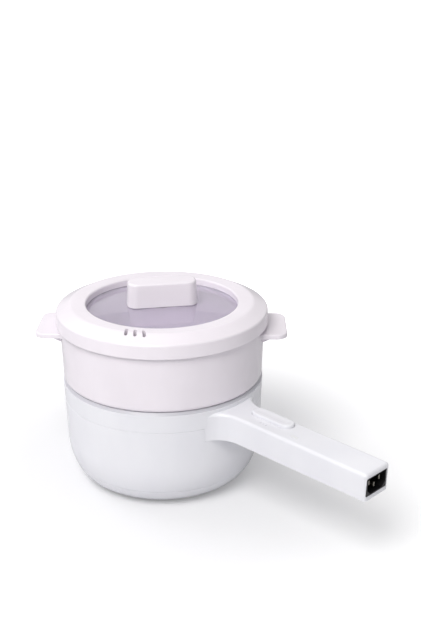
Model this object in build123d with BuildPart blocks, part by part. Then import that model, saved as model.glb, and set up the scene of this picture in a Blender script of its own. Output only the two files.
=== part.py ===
"""Electric hot pot with a steamer tray and a lift-off glass lid.

Millimetres, +Z up. The origin is on the pot's axis in the plane of its feet, and the
handle points along +X. The steamer and the lid are modelled stacked on the pot.
"""

import os
from math import atan2, cos, degrees, hypot, radians, sin, tan

from build123d import *

os.makedirs("parts", exist_ok=True)

# ---------------------------------------------------------------- driving dimensions

# Pot shell
foot_height = 3.0
shell_height = 97.4  # base to the top edge of the wall
wall_top_radius = 97.0
belly_radius = 95.2  # where the wall starts to round in
belly_height = 44.0
base_radius = 72.0
shell_wall = 2.4
seam_drop = 17.0  # upper seam, below the top edge of the wall
base_seam_rise = 16.0  # lower seam, above the base
seam_chamfer = 0.35
lap_height = 4.0  # lip of the lower housing inside the upper one
lap_radius = 93.5
lap_thickness = 1.6
locating_lip_radius = 87.1
locating_lip_height = 3.5
locating_lip_thickness = 2.1

# Rim ring and inner pot
bevel_height = 2.6
bevel_ledge = 0.5  # bare edge of the wall outside the bevel
bevel_round = 0.8
rim_flat_radius = 94.5
rim_recess_radius = 92.8
rim_bore_radius = 90.2
rim_skirt_depth = 10.0
rim_skirt_bore = 92.2
rim_shelf_depth = 5.0
pot_mouth_radius = 87.8
pot_mouth_round = 1.6
pot_floor_z = 27.0
pot_wall = 1.8
pot_floor_radius = 68.0
pot_corner_radius = 18.0
flange_thickness = 1.5
flange_gap = 0.4
gasket_thickness = 0.5
gasket_gap = 0.3

# Feet, base screws and the towers that they pass through
foot_circle = 62.0
foot_radius = 7.0
foot_chamfer = 0.6
foot_pocket = 1.0
tower_circle = 56.0
tower_radius = 4.6
tower_top = 13.0
tower_foot_radius = 5.5
tower_foot_top = 8.0
screw_pocket_radius = 3.8
screw_head_radius = 3.5
screw_head_height = 2.2
screw_seat = 6.6
screw_hole_radius = 2.2
screw_shank_radius = 1.75
screw_tip = 20.0

# Heater
plate_radius = 62.0
plate_thickness = 4.0
plate_boss_radius = 4.2
plate_pilot_radius = 1.8
element_radius = 45.0
element_tube = 3.6
element_gap_angle = 21.0  # half the opening of the ring
terminal_radius = 1.2
terminal_length = 9.0
thermostat_radius = 8.4
thermostat_height = 8.6
tab_size = (7.0, 6.3, 0.8)
tab_offset = 11.0
tab_drop = 7.0
strap_size = (9.0, 48.0, 1.0)
strap_drop = 9.8  # underside of the strap, below the plate
small_screw_head = (3.0, 2.0)
small_screw_radius = 1.5
small_pilot_radius = 1.6
small_hole_radius = 1.9
small_screw_bite = 2.5
bracket_screw_places = ((0, 20.0), (0, -20.0))
earth_place = (56.0, 18.0)
earth_eye_radius = 4.2
earth_tail = (8.0, 3.0, -25.0)  # length, width, angle
earth_tail_place = (61.0, 15.5)
lug_thickness = 0.8
fuse_radius = 2.1
fuse_length = 14.0
fuse_wire_radius = 0.5
fuse_wire_length = 30.0
fuse_place = (-24.0, 2.2)  # x, and depth below the plate
shield_z = 8.0
shield_radius = 66.0
shield_sheet = 0.8
shield_rim_top = 18.0
shield_notch = (12.0, 34.0, 10.0)  # length, width, and level where it starts
shield_hole_radius = 4.9
spacer_radius = 6.1

# Handle
handle_end = 258.5
handle_width = 33.0
handle_bottom = 70.3
handle_top_at_pot = 97.0
handle_drop = 1.8  # fall of the top face from the wall to the end
handle_root_radius = 25.0  # plan fillet between handle and wall
handle_end_radius = 3.5
handle_edge_radius = 2.8
cavity_width = 27.2
cavity_top = 92.6
cavity_start = 85.0
end_wall = 3.0
apron_width = 66.4  # part of the upper housing that reaches below the seam
cover_start = 94.4
cover_thickness = 2.3
cover_gap = 0.1
cover_screw_places = ((104.0, 0), (208.0, 0))
cover_screw_head = (3.0, 1.4)
cover_sink = (3.3, 1.5)
cover_hole_radius = 1.7
boss_radius = 3.6
boss_pilot_radius = 1.3
boss_pilot_depth = 14.0
handle_screw_radius = 1.2

# Inlet
socket_centre = (-0.8, 82.6)
socket_size = (27.2, 16.8)
socket_corner = 1.2
socket_clearance = 0.2
inlet_setback = 0.9
collar_depth = 1.9
inlet_body_width = 25.8
inlet_body_shift = 0.4
inlet_body_depth = 24.0
recess_size = (24.4, 14.6)
recess_depth = 18.0
recess_chamfer = 4.2
pin_section = (2.0, 4.0)
pin_spacing = 14.0
pin_rise = 1.6  # of the two outer pins above the socket's centre
earth_pin_drop = 2.4
pin_setback = 2.5
pin_length = 27.5
pin_chamfer = 0.6

# Circuit board and what is on it
board_x = (112.0, 190.0)
board_width = 25.0
board_z = 84.0
board_thickness = 1.6
board_screw_places = ((117.0, -9.5), (185.0, 8.5))
board_screw_head = (2.4, 1.5)
board_screw_radius = 1.0
board_screw_length = 4.0
board_hole_radius = 1.2
board_post_radius = 2.8
board_pilot_radius = 1.1
component_height = 8.8
relay_box = (156.0, 1.0, 19.0, 15.5)  # centre, then size, as for the two blocks
heater_block = (117.5, 0.6, 9.0, 14.8)
mains_block = (183.0, -4.0, 9.0, 16.0)
capacitor = (134.0, -4.0, 5.0)  # centre, then radius
switch_x = 151.0
switch_size = 6.0
switch_height = 3.5
plunger_radius = 1.7
plunger_height = 0.9
indicator_place = (174.0, -7.0)
indicator_window = (7.0, 3.2, 1.0)  # length, width, corner
indicator_light_size = (5.0, 2.6, 3.0)
lens_rise = 0.25
lens_depth = 5.0
lens_edge = 0.2

# Button
button_x = 139.0
button_y = 5.0
button_length = 46.0
button_width = 14.0
button_rise = 3.0
button_edge_radius = 1.3
button_depth = 5.2  # of the cap's lower edge, below the handle's top face
button_roof = 2.0
button_wall = 2.0
button_flange = 0.7
flange_height = 0.9
running_gap = 0.3
stem_radius = 2.0
stem_depth = 4.7
spring_x = 130.0
spring_post_radius = 1.6
spring_post_depth = 2.6
spring_radius = 2.4
spring_wire = 0.35
spring_pitch = 2.0
spring_length = 11.7

# Leads inside the pot and the handle
lead_radius = 1.1
lead_bend = 0.45  # share of the shorter run that a bend takes up

# Steamer
steamer_wall_height = 59.2
steamer_base_radius = 96.2
steamer_wall_top_radius = 97.9
steamer_lip_radius = 98.6
steamer_lip_height = 4.8
steamer_lip_step = 0.7
steamer_mouth_radius = 95.3
steamer_thickness = 2.5
steamer_corner_radius = 4.2
steamer_inner_corner = 3.4
steamer_rim_rounds = (2.0, 0.8)
steam_hole_radius = 2.0
steam_hole_pitch = 15.0
steam_hole_rings = 5
spigot_radius = 87.1
spigot_wall = 2.4
spigot_depth = 4.0
ear_angle = 44.0
ear_width = 60.0
ear_reach = 119.0
ear_thickness = 4.8
ear_drop = 9.5  # top of the ears, below the rim
ear_corner_radius = 10.0
ear_root_radius = 5.0
ear_root_circle = 97.3
ear_rounds = (1.4, 0.8)
rib_spacing = 36.0
rib_thickness = 3.0
rib_depth = 9.0
rib_start = 92.0
rib_reach = 109.0
rib_tip = 1.2
ear_trim_radius = 96.4  # the ears end inside the wall

# Lid
lid_overlap = 5.0  # skirt below the steamer's rim
lid_side_height = 13.0
lid_radius = 101.0
lid_flare = 0.4
lid_skirt_wall = 1.9
lid_edge_round = 2.2
shoulder_rise = 6.5
shoulder_radius = 87.4
shoulder_round = 7.0
inner_edge_drop = 0.6
inner_edge_round = 1.8
inner_skirt_radii = (92.8, 94.8)
inner_skirt_depth = 4.2
lid_hollow_radius = 82.0
lid_hollow_corner = 86.6
lid_hollow_drops = (3.6, 3.0, 6.0)  # of the hollow's roof, below the lid's top
glass_opening = 72.5
glass_radius = 77.0
glass_thickness = 4.0
glass_crown = 4.5
glass_drop = 0.9  # glass edge below the top of the side wall
gasket_width = 2.4
gasket_bore = 73.6
gasket_lip_drop = 0.9
seat_depth = 5.9
fit_gap = 0.1
retaining_bore = 73.2
retaining_thickness = 1.6
ring_screw_circle = 87.3
ring_boss_radius = 3.2
ring_pilot_radius = 1.2
ring_pilot_depth = 7.0
ring_screw_head = (2.6, 1.4)
ring_screw_radius = 1.1
ring_screw_length = 5.0
ring_hole_radius = 1.6
ring_vent_radius = 2.0
ring_vent_count = 24
slot_angle = -58.8
slot_pitch = 5.4  # degrees
slot_size = (11.5, 3.0)
slot_slant = 16.0
slot_circle = 85.8
slot_depth = 9.0

# Knob and its fixing
knob_angle = 55.0
knob_length = 65.0
knob_width = 23.5
knob_corner = 9.5
knob_rise = 26.4  # top of the knob above the top of the lid's side wall
knob_draft = 3.0
knob_edge_radius = 2.0
knob_wall = 3.0
knob_gap = 0.4
knob_boss_radius = 5.0
knob_pilot_radius = 2.3
knob_pilot_depth = 18.0
knob_bolt_radius = 2.2
knob_bolt_length = 18.0
knob_bolt_head = (4.6, 2.6)
glass_hole_radius = 3.2
washer_bore = 2.6
knob_washer_size = (4.8, 0.35)
screw_washer_size = (9.0, 1.1)

# ---------------------------------------------------------------- worked-out values

base_z = foot_height
wall_top_z = base_z + shell_height
rim_z = wall_top_z + bevel_height
belly_z = base_z + belly_height
seam_z = wall_top_z - seam_drop
base_seam_z = base_z + base_seam_rise
draft = degrees(atan2(wall_top_radius - belly_radius, wall_top_z - belly_z))
handle_slope = atan2(handle_drop, handle_end - wall_top_radius)
handle_top = Plane(
    origin=(wall_top_radius, 0, handle_top_at_pot),
    x_dir=(cos(handle_slope), 0, -sin(handle_slope)),
    z_dir=(sin(handle_slope), 0, cos(handle_slope)),
)
flange_z = rim_z - flange_thickness
recess_z = flange_z - gasket_thickness
plate_z = pot_floor_z - pot_wall - plate_thickness
tube_z = plate_z - element_tube - fit_gap
board_top = board_z + board_thickness
inlet_face = handle_end - inlet_setback
pin_back = inlet_face - pin_setback - pin_length
steamer_rim_z = rim_z + steamer_wall_height
lid_z = steamer_rim_z - lid_overlap + lid_side_height  # top of the lid's side wall
lid_top_z = lid_z + shoulder_rise
glass_edge_z = lid_z - glass_drop
glass_sphere = (glass_opening**2 + glass_crown**2) / (2 * glass_crown)
glass_top_z = glass_edge_z + glass_crown
sphere_z = glass_top_z - glass_sphere
retainer_z = glass_edge_z - seat_depth


def wall_radius(z):
    """Outside radius of the pot's straight wall at height z."""
    return belly_radius + (z - belly_z) * tan(radians(draft))


def around(radius, angles):
    """Points on a circle about the pot's axis."""
    return [(radius * cos(radians(a)), radius * sin(radians(a))) for a in angles]


def column(radius, low, high, places=((0, 0),), mode=Mode.ADD):
    """Adds round columns, or cuts round holes, between two heights of the open part."""
    with Locations(*[(x, y, low) for x, y in places]):
        Cylinder(radius, high - low, align=(Align.CENTER, Align.CENTER, Align.MIN), mode=mode)


def bend_radii(route):
    """The largest bends that the straight runs of a route leave room for."""
    radii = []
    for before, corner, after in zip(route, route[1:], route[2:]):
        inward = Vector(*before) - Vector(*corner)
        outward = Vector(*after) - Vector(*corner)
        half_turn = radians(180 - inward.get_angle(outward)) / 2
        radii.append(lead_bend * min(inward.length, outward.length) / tan(half_turn))
    return radii


tower_places = around(tower_circle, (60, 180, 300))
foot_places = around(foot_circle, (45, 135, 225, 315))
ring_screw_places = around(ring_screw_circle, (0, 90, 180, 270))

# ---------------------------------------------------------------- pot shell

# One wall from the top edge round the belly to the base, later divided at its seams
with BuildPart() as whole_shell:
    with BuildSketch(Plane.XZ):
        with BuildLine():
            corner_width = belly_radius - base_radius
            Line((0, base_z), (base_radius, base_z))
            EllipticalCenterArc(
                (base_radius, belly_z), corner_width, belly_height, 270, arc_size=90
            )
            Polyline(
                (belly_radius, belly_z),
                (wall_top_radius, wall_top_z),
                (wall_top_radius - shell_wall, wall_top_z),
                (belly_radius - shell_wall, belly_z),
            )
            EllipticalCenterArc(
                (base_radius, belly_z),
                corner_width - shell_wall,
                belly_height - shell_wall,
                270,
                arc_size=90,
            )
            Polyline((base_radius, base_z + shell_wall), (0, base_z + shell_wall), (0, base_z))
        make_face()
    revolve(axis=Axis.Z)

# The room inside the straight wall, which opens the handle's root into the pot
with BuildPart() as wall_bore:
    with BuildSketch(Plane.XY.offset(rim_z)):
        Circle(wall_radius(rim_z) - shell_wall)
    extrude(amount=belly_z - rim_z, taper=draft)

# The stretch of wall behind the handle, which stays with the upper housing
with BuildPart() as apron:
    add(whole_shell.part)
    with BuildSketch(Plane.XY.offset(handle_bottom)):
        with Locations((wall_top_radius, 0)):
            Rectangle(wall_top_radius, apron_width)
    extrude(amount=wall_top_z - handle_bottom, mode=Mode.INTERSECT)

# The bar grows out of the wall in two wide fillets, and its sides share the wall's draft
with BuildPart() as handle_bar:
    with BuildSketch(Plane.XY.offset(wall_top_z)):
        Circle(wall_top_radius - 0.05)
        with Locations((handle_end / 2, 0)):
            Rectangle(handle_end, handle_width)
        in_front = vertices().filter_by(lambda v: v.X > 0).sort_by(Axis.X)
        fillet(in_front[:2], handle_root_radius)
        fillet(vertices().sort_by(Axis.X)[-2:], handle_end_radius)
    extrude(amount=handle_bottom - wall_top_z, taper=draft)
    split(bisect_by=handle_top, keep=Keep.BOTTOM)
    fillet(faces().sort_by(Axis.Z)[-1].edges(), handle_edge_radius)

with BuildPart() as upper_housing:
    add(whole_shell.part)
    split(bisect_by=Plane.XY.offset(seam_z), keep=Keep.TOP)
    chamfer(edges().group_by(Axis.Z)[0].sort_by(SortBy.LENGTH)[-1], seam_chamfer)
    add(apron.part)
    add(handle_bar.part)
    # below the seam only the apron and the bar stay
    with BuildSketch(Plane.XY.offset(handle_bottom)):
        Circle(wall_top_radius)
        with Locations((wall_top_radius, 0)):
            Rectangle(wall_top_radius, apron_width, mode=Mode.SUBTRACT)
    extrude(amount=seam_z - handle_bottom, mode=Mode.SUBTRACT)
    add(wall_bore.part, mode=Mode.SUBTRACT)
    # room for the wiring, open to the pot and downwards
    cavity_length = handle_end - end_wall - cavity_start
    with BuildSketch(Plane.XY.offset(handle_bottom)):
        with Locations((cavity_start + cavity_length / 2, 0)):
            Rectangle(cavity_length, cavity_width)
    extrude(amount=cavity_top - handle_bottom, mode=Mode.SUBTRACT)
    # bosses for the cover's screws and posts for the board
    boss_z = handle_bottom + cover_thickness + fit_gap
    column(boss_radius, boss_z, cavity_top + fit_gap, cover_screw_places)
    column(boss_pilot_radius, boss_z, boss_z + boss_pilot_depth, cover_screw_places, Mode.SUBTRACT)
    column(board_post_radius, board_top, cavity_top + fit_gap, board_screw_places)
    column(
        board_pilot_radius, board_top, board_top + board_screw_length + fit_gap,
        board_screw_places, Mode.SUBTRACT,
    )
    # openings for the button and the indicator
    with BuildSketch(handle_top):
        with Locations((button_x - wall_top_radius, button_y)):
            SlotOverall(button_length + 2 * running_gap, button_width + 2 * running_gap)
        with Locations((indicator_place[0] - wall_top_radius, indicator_place[1])):
            RectangleRounded(*indicator_window)
    extrude(amount=-button_depth, mode=Mode.SUBTRACT)
    # opening for the inlet
    with BuildSketch(Plane.YZ.offset(handle_end - 2 * end_wall)):
        with Locations(socket_centre):
            RectangleRounded(
                socket_size[0] + 2 * socket_clearance,
                socket_size[1] + 2 * socket_clearance,
                socket_corner + socket_clearance,
            )
    extrude(amount=2 * end_wall, mode=Mode.SUBTRACT)

with BuildPart() as lower_housing:
    add(whole_shell.part)
    split(bisect_by=Plane.XY.offset(seam_z), keep=Keep.BOTTOM)
    split(bisect_by=Plane.XY.offset(base_seam_z), keep=Keep.TOP)
    chamfer(edges().group_by(Axis.Z)[-1].sort_by(SortBy.LENGTH)[-1], seam_chamfer)
    chamfer(edges().group_by(Axis.Z)[0].sort_by(SortBy.LENGTH)[-1], seam_chamfer)
    # lip that centres the upper housing
    lap_bore = lap_radius - lap_thickness
    with BuildSketch(Plane.XZ):
        with BuildLine():
            Polyline(
                (lap_bore, seam_z - lap_height),
                (lap_radius + lap_thickness, seam_z - lap_height),
                (lap_radius + lap_thickness, seam_z),
                (lap_radius, seam_z),
                (lap_radius, seam_z + lap_height),
                (lap_bore, seam_z + lap_height),
                close=True,
            )
        make_face()
    revolve(axis=Axis.Z)
    # room for the apron
    with BuildSketch(Plane.XY.offset(handle_bottom - cover_gap)):
        with Locations((wall_top_radius, 0)):
            Rectangle(wall_top_radius, apron_width + 2 * cover_gap)
    extrude(amount=seam_z + lap_height, mode=Mode.SUBTRACT)

with BuildPart() as base_cover:
    add(whole_shell.part)
    split(bisect_by=Plane.XY.offset(base_seam_z), keep=Keep.BOTTOM)
    chamfer(edges().group_by(Axis.Z)[-1].sort_by(SortBy.LENGTH)[-1], seam_chamfer)
    # lip that centres the lower housing
    lip_bore = locating_lip_radius - locating_lip_thickness
    with BuildSketch(Plane.XZ):
        with BuildLine():
            Polyline(
                (lip_bore, base_seam_z - locating_lip_height),
                (locating_lip_radius - 0.7, base_seam_z - locating_lip_height + 0.8),
                (locating_lip_radius + 0.2, base_seam_z - 0.7),
                (locating_lip_radius, base_seam_z + locating_lip_height),
                (lip_bore, base_seam_z + locating_lip_height),
                close=True,
            )
        make_face()
    revolve(axis=Axis.Z)
    # towers under the heating plate's bosses
    column(tower_foot_radius, base_z + shell_wall / 2, tower_foot_top, tower_places)
    column(tower_radius, tower_foot_top - fit_gap, tower_top, tower_places)
    column(screw_pocket_radius, base_z, screw_seat, tower_places, Mode.SUBTRACT)
    column(screw_hole_radius, base_z, tower_top, tower_places, Mode.SUBTRACT)
    column(foot_radius + fit_gap, base_z, base_z + foot_pocket, foot_places, Mode.SUBTRACT)

with BuildPart() as feet:
    column(foot_radius, 0, base_z + foot_pocket, foot_places)
    chamfer(edges().group_by(Axis.Z)[0], foot_chamfer)

with BuildPart() as base_screws:
    column(screw_head_radius, screw_seat - screw_head_height, screw_seat, tower_places)
    column(screw_shank_radius, screw_seat - fit_gap, screw_tip, tower_places)

# ---------------------------------------------------------------- rim and inner pot

with BuildPart() as rim_ring:
    housing_bore = wall_radius(rim_z - rim_skirt_depth) - shell_wall - fit_gap
    with BuildSketch(Plane.XZ):
        with BuildLine():
            Polyline(
                (wall_top_radius - bevel_ledge, wall_top_z),
                (rim_flat_radius, rim_z),
                (rim_recess_radius, rim_z),
                (rim_recess_radius, recess_z),
                (rim_bore_radius, recess_z),
                (rim_bore_radius, rim_z - rim_shelf_depth),
                (rim_skirt_bore, rim_z - rim_shelf_depth),
                (rim_skirt_bore, rim_z - rim_skirt_depth),
                (housing_bore, rim_z - rim_skirt_depth),
                (housing_bore, wall_top_z),
                close=True,
            )
        make_face()
        fillet(vertices().group_by(Axis.Y)[-1].sort_by(Axis.X)[-1], bevel_round)
    revolve(axis=Axis.Z)

with BuildPart() as rim_gasket:
    with BuildSketch(Plane.XY.offset(recess_z)):
        Circle(rim_recess_radius - gasket_gap)
        Circle(rim_bore_radius + gasket_gap, mode=Mode.SUBTRACT)
    extrude(amount=gasket_thickness)

with BuildPart() as inner_pot:
    side_radius = pot_floor_radius + pot_corner_radius
    corner_z = pot_floor_z - pot_wall + pot_corner_radius
    with BuildSketch(Plane.XZ):
        with BuildLine():
            Line((0, pot_floor_z - pot_wall), (pot_floor_radius, pot_floor_z - pot_wall))
            CenterArc((pot_floor_radius, corner_z), pot_corner_radius, 270, 90)
            Polyline(
                (side_radius, corner_z),
                (pot_mouth_radius + pot_wall, flange_z),
                (rim_recess_radius - flange_gap, flange_z),
                (rim_recess_radius - flange_gap, rim_z),
                (pot_mouth_radius, rim_z),
                (side_radius - pot_wall, corner_z),
            )
            CenterArc((pot_floor_radius, corner_z), pot_corner_radius - pot_wall, 0, -90)
            Polyline((pot_floor_radius, pot_floor_z), (0, pot_floor_z), (0, pot_floor_z - pot_wall))
        make_face()
        fillet(vertices().group_by(Axis.Y)[-1].sort_by(Axis.X)[0], pot_mouth_round)
    revolve(axis=Axis.Z)

# ---------------------------------------------------------------- heater

with BuildPart() as heating_plate:
    column(plate_radius, plate_z, plate_z + plate_thickness)
    column(plate_boss_radius, tower_top, plate_z, tower_places)
    column(plate_pilot_radius, tower_top, screw_tip + fit_gap, tower_places, Mode.SUBTRACT)
    blind_holes = (*bracket_screw_places, earth_place)
    column(small_pilot_radius, plate_z, plate_z + small_screw_bite, blind_holes, Mode.SUBTRACT)

with BuildPart() as heating_element:
    with BuildLine(Plane.XY.offset(tube_z)):
        ring = CenterArc((0, 0), element_radius, element_gap_angle, 360 - 2 * element_gap_angle)
    with BuildSketch(Plane(origin=ring @ 0, z_dir=ring % 0)):
        Circle(element_tube)
    sweep(path=ring)

with BuildPart() as element_terminals:
    for end, way in ((ring @ 0, -(ring % 0)), (ring @ 1, ring % 1)):
        with BuildSketch(Plane(origin=end, z_dir=way)):
            Circle(terminal_radius)
        extrude(amount=terminal_length)

with BuildPart() as thermostat:
    column(thermostat_radius, plate_z - thermostat_height, plate_z)
    with BuildSketch(Plane.XY.offset(plate_z - tab_drop)):
        with Locations((tab_offset, 0), (-tab_offset, 0)):
            Rectangle(tab_size[0], tab_size[1])
    extrude(amount=tab_size[2])

with BuildPart() as thermostat_bracket:
    strap_width, strap_length, strap_sheet = strap_size
    strap_z = plate_z - strap_drop
    leg_y = (strap_length - strap_sheet) / 2
    with BuildSketch(Plane.XY.offset(strap_z)):
        Rectangle(strap_width, strap_length)
        with Locations(*bracket_screw_places):
            Circle(small_hole_radius, mode=Mode.SUBTRACT)
    extrude(amount=strap_sheet)
    with BuildSketch(Plane.XY.offset(strap_z + strap_sheet)):
        with Locations((0, leg_y), (0, -leg_y)):
            Rectangle(strap_width, strap_sheet)
    extrude(amount=strap_drop - strap_sheet)

with BuildPart() as bracket_screws:
    head_radius, head_height = small_screw_head
    column(head_radius, strap_z - head_height, strap_z, bracket_screw_places)
    column(small_screw_radius, strap_z, plate_z + small_screw_bite, bracket_screw_places)

with BuildPart() as thermal_fuse:
    fuse_centre = (fuse_place[0], plate_z - fuse_place[1])
    for radius, length in ((fuse_radius, fuse_length), (fuse_wire_radius, fuse_wire_length)):
        with BuildSketch(Plane.XZ):
            with Locations(fuse_centre):
                Circle(radius)
        extrude(amount=length / 2, both=True)

with BuildPart() as heat_shield:
    notch_length, notch_width, notch_z = shield_notch
    column(shield_radius, shield_z, shield_rim_top)
    column(shield_radius - shield_sheet, shield_z + shield_sheet, shield_rim_top, mode=Mode.SUBTRACT)
    column(shield_hole_radius, shield_z, shield_rim_top, tower_places, Mode.SUBTRACT)
    with BuildSketch(Plane.XY.offset(notch_z)):
        with Locations((shield_radius, 0)):
            Rectangle(notch_length, notch_width)
    extrude(amount=shield_rim_top - notch_z, mode=Mode.SUBTRACT)

with BuildPart() as shield_spacers:
    column(spacer_radius, shield_z + shield_sheet, plate_z, tower_places)
    column(shield_hole_radius, shield_z, plate_z, tower_places, Mode.SUBTRACT)

with BuildPart() as earth_lug:
    with BuildSketch(Plane.XY.offset(plate_z - lug_thickness)):
        with Locations(earth_place):
            Circle(earth_eye_radius)
        with Locations(earth_tail_place):
            Rectangle(earth_tail[0], earth_tail[1], rotation=earth_tail[2])
        with Locations(earth_place):
            Circle(small_hole_radius, mode=Mode.SUBTRACT)
    extrude(amount=lug_thickness)

with BuildPart() as earth_screw:
    lug_z = plate_z - lug_thickness
    column(head_radius, lug_z - head_height, lug_z, (earth_place,))
    column(small_screw_radius, lug_z, plate_z + small_screw_bite, (earth_place,))

# ---------------------------------------------------------------- handle parts

with BuildPart() as handle_cover:
    cover_end = handle_end - end_wall - cover_gap
    with BuildSketch(Plane.XY.offset(handle_bottom)):
        with Locations(((cover_start + cover_end) / 2, 0)):
            Rectangle(cover_end - cover_start, cavity_width - 2 * cover_gap)
    extrude(amount=cover_thickness)
    sink_radius, sink_depth = cover_sink
    column(sink_radius, handle_bottom, handle_bottom + sink_depth, cover_screw_places, Mode.SUBTRACT)
    column(cover_hole_radius, handle_bottom, boss_z, cover_screw_places, Mode.SUBTRACT)

with BuildPart() as handle_screws:
    cover_head_radius, cover_head_height = cover_screw_head
    head_z = handle_bottom + sink_depth - cover_head_height
    column(cover_head_radius, head_z, handle_bottom + sink_depth, cover_screw_places)
    column(
        handle_screw_radius, handle_bottom + sink_depth,
        boss_z + boss_pilot_depth - cover_thickness, cover_screw_places,
    )

with BuildPart() as circuit_board:
    board_middle = sum(board_x) / 2
    with BuildSketch(Plane.XY.offset(board_z)):
        with Locations((board_middle, 0)):
            Rectangle(board_x[1] - board_x[0], board_width)
        with Locations(*board_screw_places):
            Circle(board_hole_radius, mode=Mode.SUBTRACT)
    extrude(amount=board_thickness)

with BuildPart() as board_screws:
    board_head_radius, board_head_height = board_screw_head
    column(board_head_radius, board_z - board_head_height, board_z, board_screw_places)
    column(board_screw_radius, board_z, board_top + board_screw_length, board_screw_places)

# Relay, terminal blocks and capacitor hang under the board
with BuildPart() as board_components:
    with BuildSketch(Plane.XY.offset(board_z)):
        for x, y, length, width in (relay_box, heater_block, mains_block):
            with Locations((x, y)):
                Rectangle(length, width)
        with Locations(capacitor[:2]):
            Circle(capacitor[2])
    extrude(amount=-component_height)

with BuildPart() as button_switch:
    switch_top = board_top + switch_height
    with BuildSketch(Plane.XY.offset(board_top)):
        with Locations((switch_x, button_y)):
            Rectangle(switch_size, switch_size)
    extrude(amount=switch_height)
    column(plunger_radius, switch_top, switch_top + plunger_height, ((switch_x, button_y),))

with BuildPart() as indicator_light:
    with BuildSketch(Plane.XY.offset(board_top)):
        with Locations(indicator_place):
            Rectangle(indicator_light_size[0], indicator_light_size[1])
    extrude(amount=indicator_light_size[2])

with BuildPart() as indicator_lens:
    window_length, window_width, window_corner = indicator_window
    with BuildSketch(handle_top.offset(lens_rise)):
        with Locations((indicator_place[0] - wall_top_radius, indicator_place[1])):
            RectangleRounded(window_length - fit_gap, window_width - fit_gap, window_corner)
    extrude(amount=-lens_depth)
    chamfer(faces().sort_by(Axis.Z)[-1].edges(), lens_edge)

# Hollow cap with a flange that keeps it in, a stem over the switch and a spring post
with BuildPart() as power_button:
    cap_place = (button_x - wall_top_radius, button_y)
    with BuildSketch(handle_top.offset(button_rise)):
        with Locations(cap_place):
            SlotOverall(button_length, button_width)
    extrude(amount=-button_rise - button_depth)
    fillet(faces().sort_by(Axis.Z)[-1].edges(), button_edge_radius)
    with BuildSketch(handle_top.offset(-button_depth)):
        with Locations(cap_place):
            SlotOverall(button_length + 3 * button_flange, button_width + 2 * button_flange)
    extrude(amount=flange_height)
    with BuildSketch(handle_top.offset(-button_depth)):
        with Locations(cap_place):
            SlotOverall(button_length - 2 * button_wall, button_width - 2 * button_wall)
    extrude(amount=button_depth + button_rise - button_roof, mode=Mode.SUBTRACT)
    posts = ((switch_x, stem_radius, stem_depth), (spring_x, spring_post_radius, spring_post_depth))
    for post_x, post_radius, post_depth in posts:
        with BuildSketch(handle_top.offset(-post_depth)):
            with Locations((post_x - wall_top_radius, button_y)):
                Circle(post_radius)
        extrude(amount=post_depth + button_rise - button_roof + fit_gap)

with BuildPart() as button_spring:
    spring_base = board_top + spring_wire + fit_gap
    with BuildLine():
        coil = Helix(
            spring_pitch, spring_length - 2 * spring_wire, spring_radius,
            center=(spring_x, button_y, spring_base),
        )
    with BuildSketch(Plane(origin=coil @ 0, z_dir=coil % 0)):
        Circle(spring_wire)
    sweep(path=coil, is_frenet=True)

socket_y, socket_z = socket_centre
pin_places = (
    (socket_y - pin_spacing / 2, socket_z + pin_rise),
    (socket_y + pin_spacing / 2, socket_z + pin_rise),
    (socket_y, socket_z - earth_pin_drop),
)

with BuildPart() as inlet_housing:
    with BuildSketch(Plane.YZ.offset(inlet_face)):
        with Locations(socket_centre):
            RectangleRounded(*socket_size, socket_corner)
    extrude(amount=-collar_depth)
    with BuildSketch(Plane.YZ.offset(inlet_face - collar_depth)):
        with Locations((socket_y + inlet_body_shift, socket_z)):
            Rectangle(inlet_body_width, socket_size[1])
    extrude(amount=-inlet_body_depth)
    # recess with its two lower corners cut off
    with BuildSketch(Plane.YZ.offset(inlet_face)):
        with Locations(socket_centre):
            Rectangle(*recess_size)
        chamfer(vertices().group_by(Axis.Y)[0], recess_chamfer)
    extrude(amount=-recess_depth, mode=Mode.SUBTRACT)
    with BuildSketch(Plane.YZ.offset(pin_back)):
        with Locations(*pin_places):
            Rectangle(*pin_section)
    extrude(amount=pin_length, mode=Mode.SUBTRACT)

with BuildPart() as inlet_pins:
    with BuildSketch(Plane.YZ.offset(pin_back)):
        with Locations(*pin_places):
            Rectangle(*pin_section)
    extrude(amount=pin_length)
    chamfer(faces().group_by(Axis.X)[-1].edges(), pin_chamfer)

# ---------------------------------------------------------------- leads

# From the inlet's pins to the mains block, past the cover's far boss
lead_start = pin_back - fit_gap
mains_block_face = mains_block[0] + mains_block[2] / 2 + fit_gap
mains_routes = (
    (
        (lead_start, *pin_places[0]), (221.0, -7.8, 84.1), (214.0, -8.6, 82.3),
        (205.0, -9.6, 80.6), (196.0, -9.8, 80.2), (mains_block_face, -9.8, 80.2),
    ),
    (
        (lead_start, *pin_places[1]), (221.0, 6.2, 84.1), (214.0, 6.8, 82.2),
        (206.0, 6.4, 80.6), (198.0, 3.2, 80.0), (193.0, 0.5, 79.9), (mains_block_face, 0.3, 79.9),
    ),
)

# From the element's terminals up the gap round the inner pot and into the handle
heater_block_face = heater_block[0] - heater_block[2] / 2 - fit_gap
heater_routes = [
    (
        (46.6, 7.7 * side, tube_z), (55.0, 6.6 * side, 16.8), (66.0, 5.7 * side, 16.4),
        (77.0, 5.6 * side, 19.5), (84.0, 5.6 * side, 28.5), (88.5, 5.6 * side, 41.0),
        (89.9, 5.7 * side, 56.0), (90.4, 5.6 * side, 68.0), (94.5, 5.6 * side, 77.5),
        (102.5, 5.7 * side, 80.4), (heater_block_face, 5.6 * side, 80.4),
    )
    for side in (1, -1)
]

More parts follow.
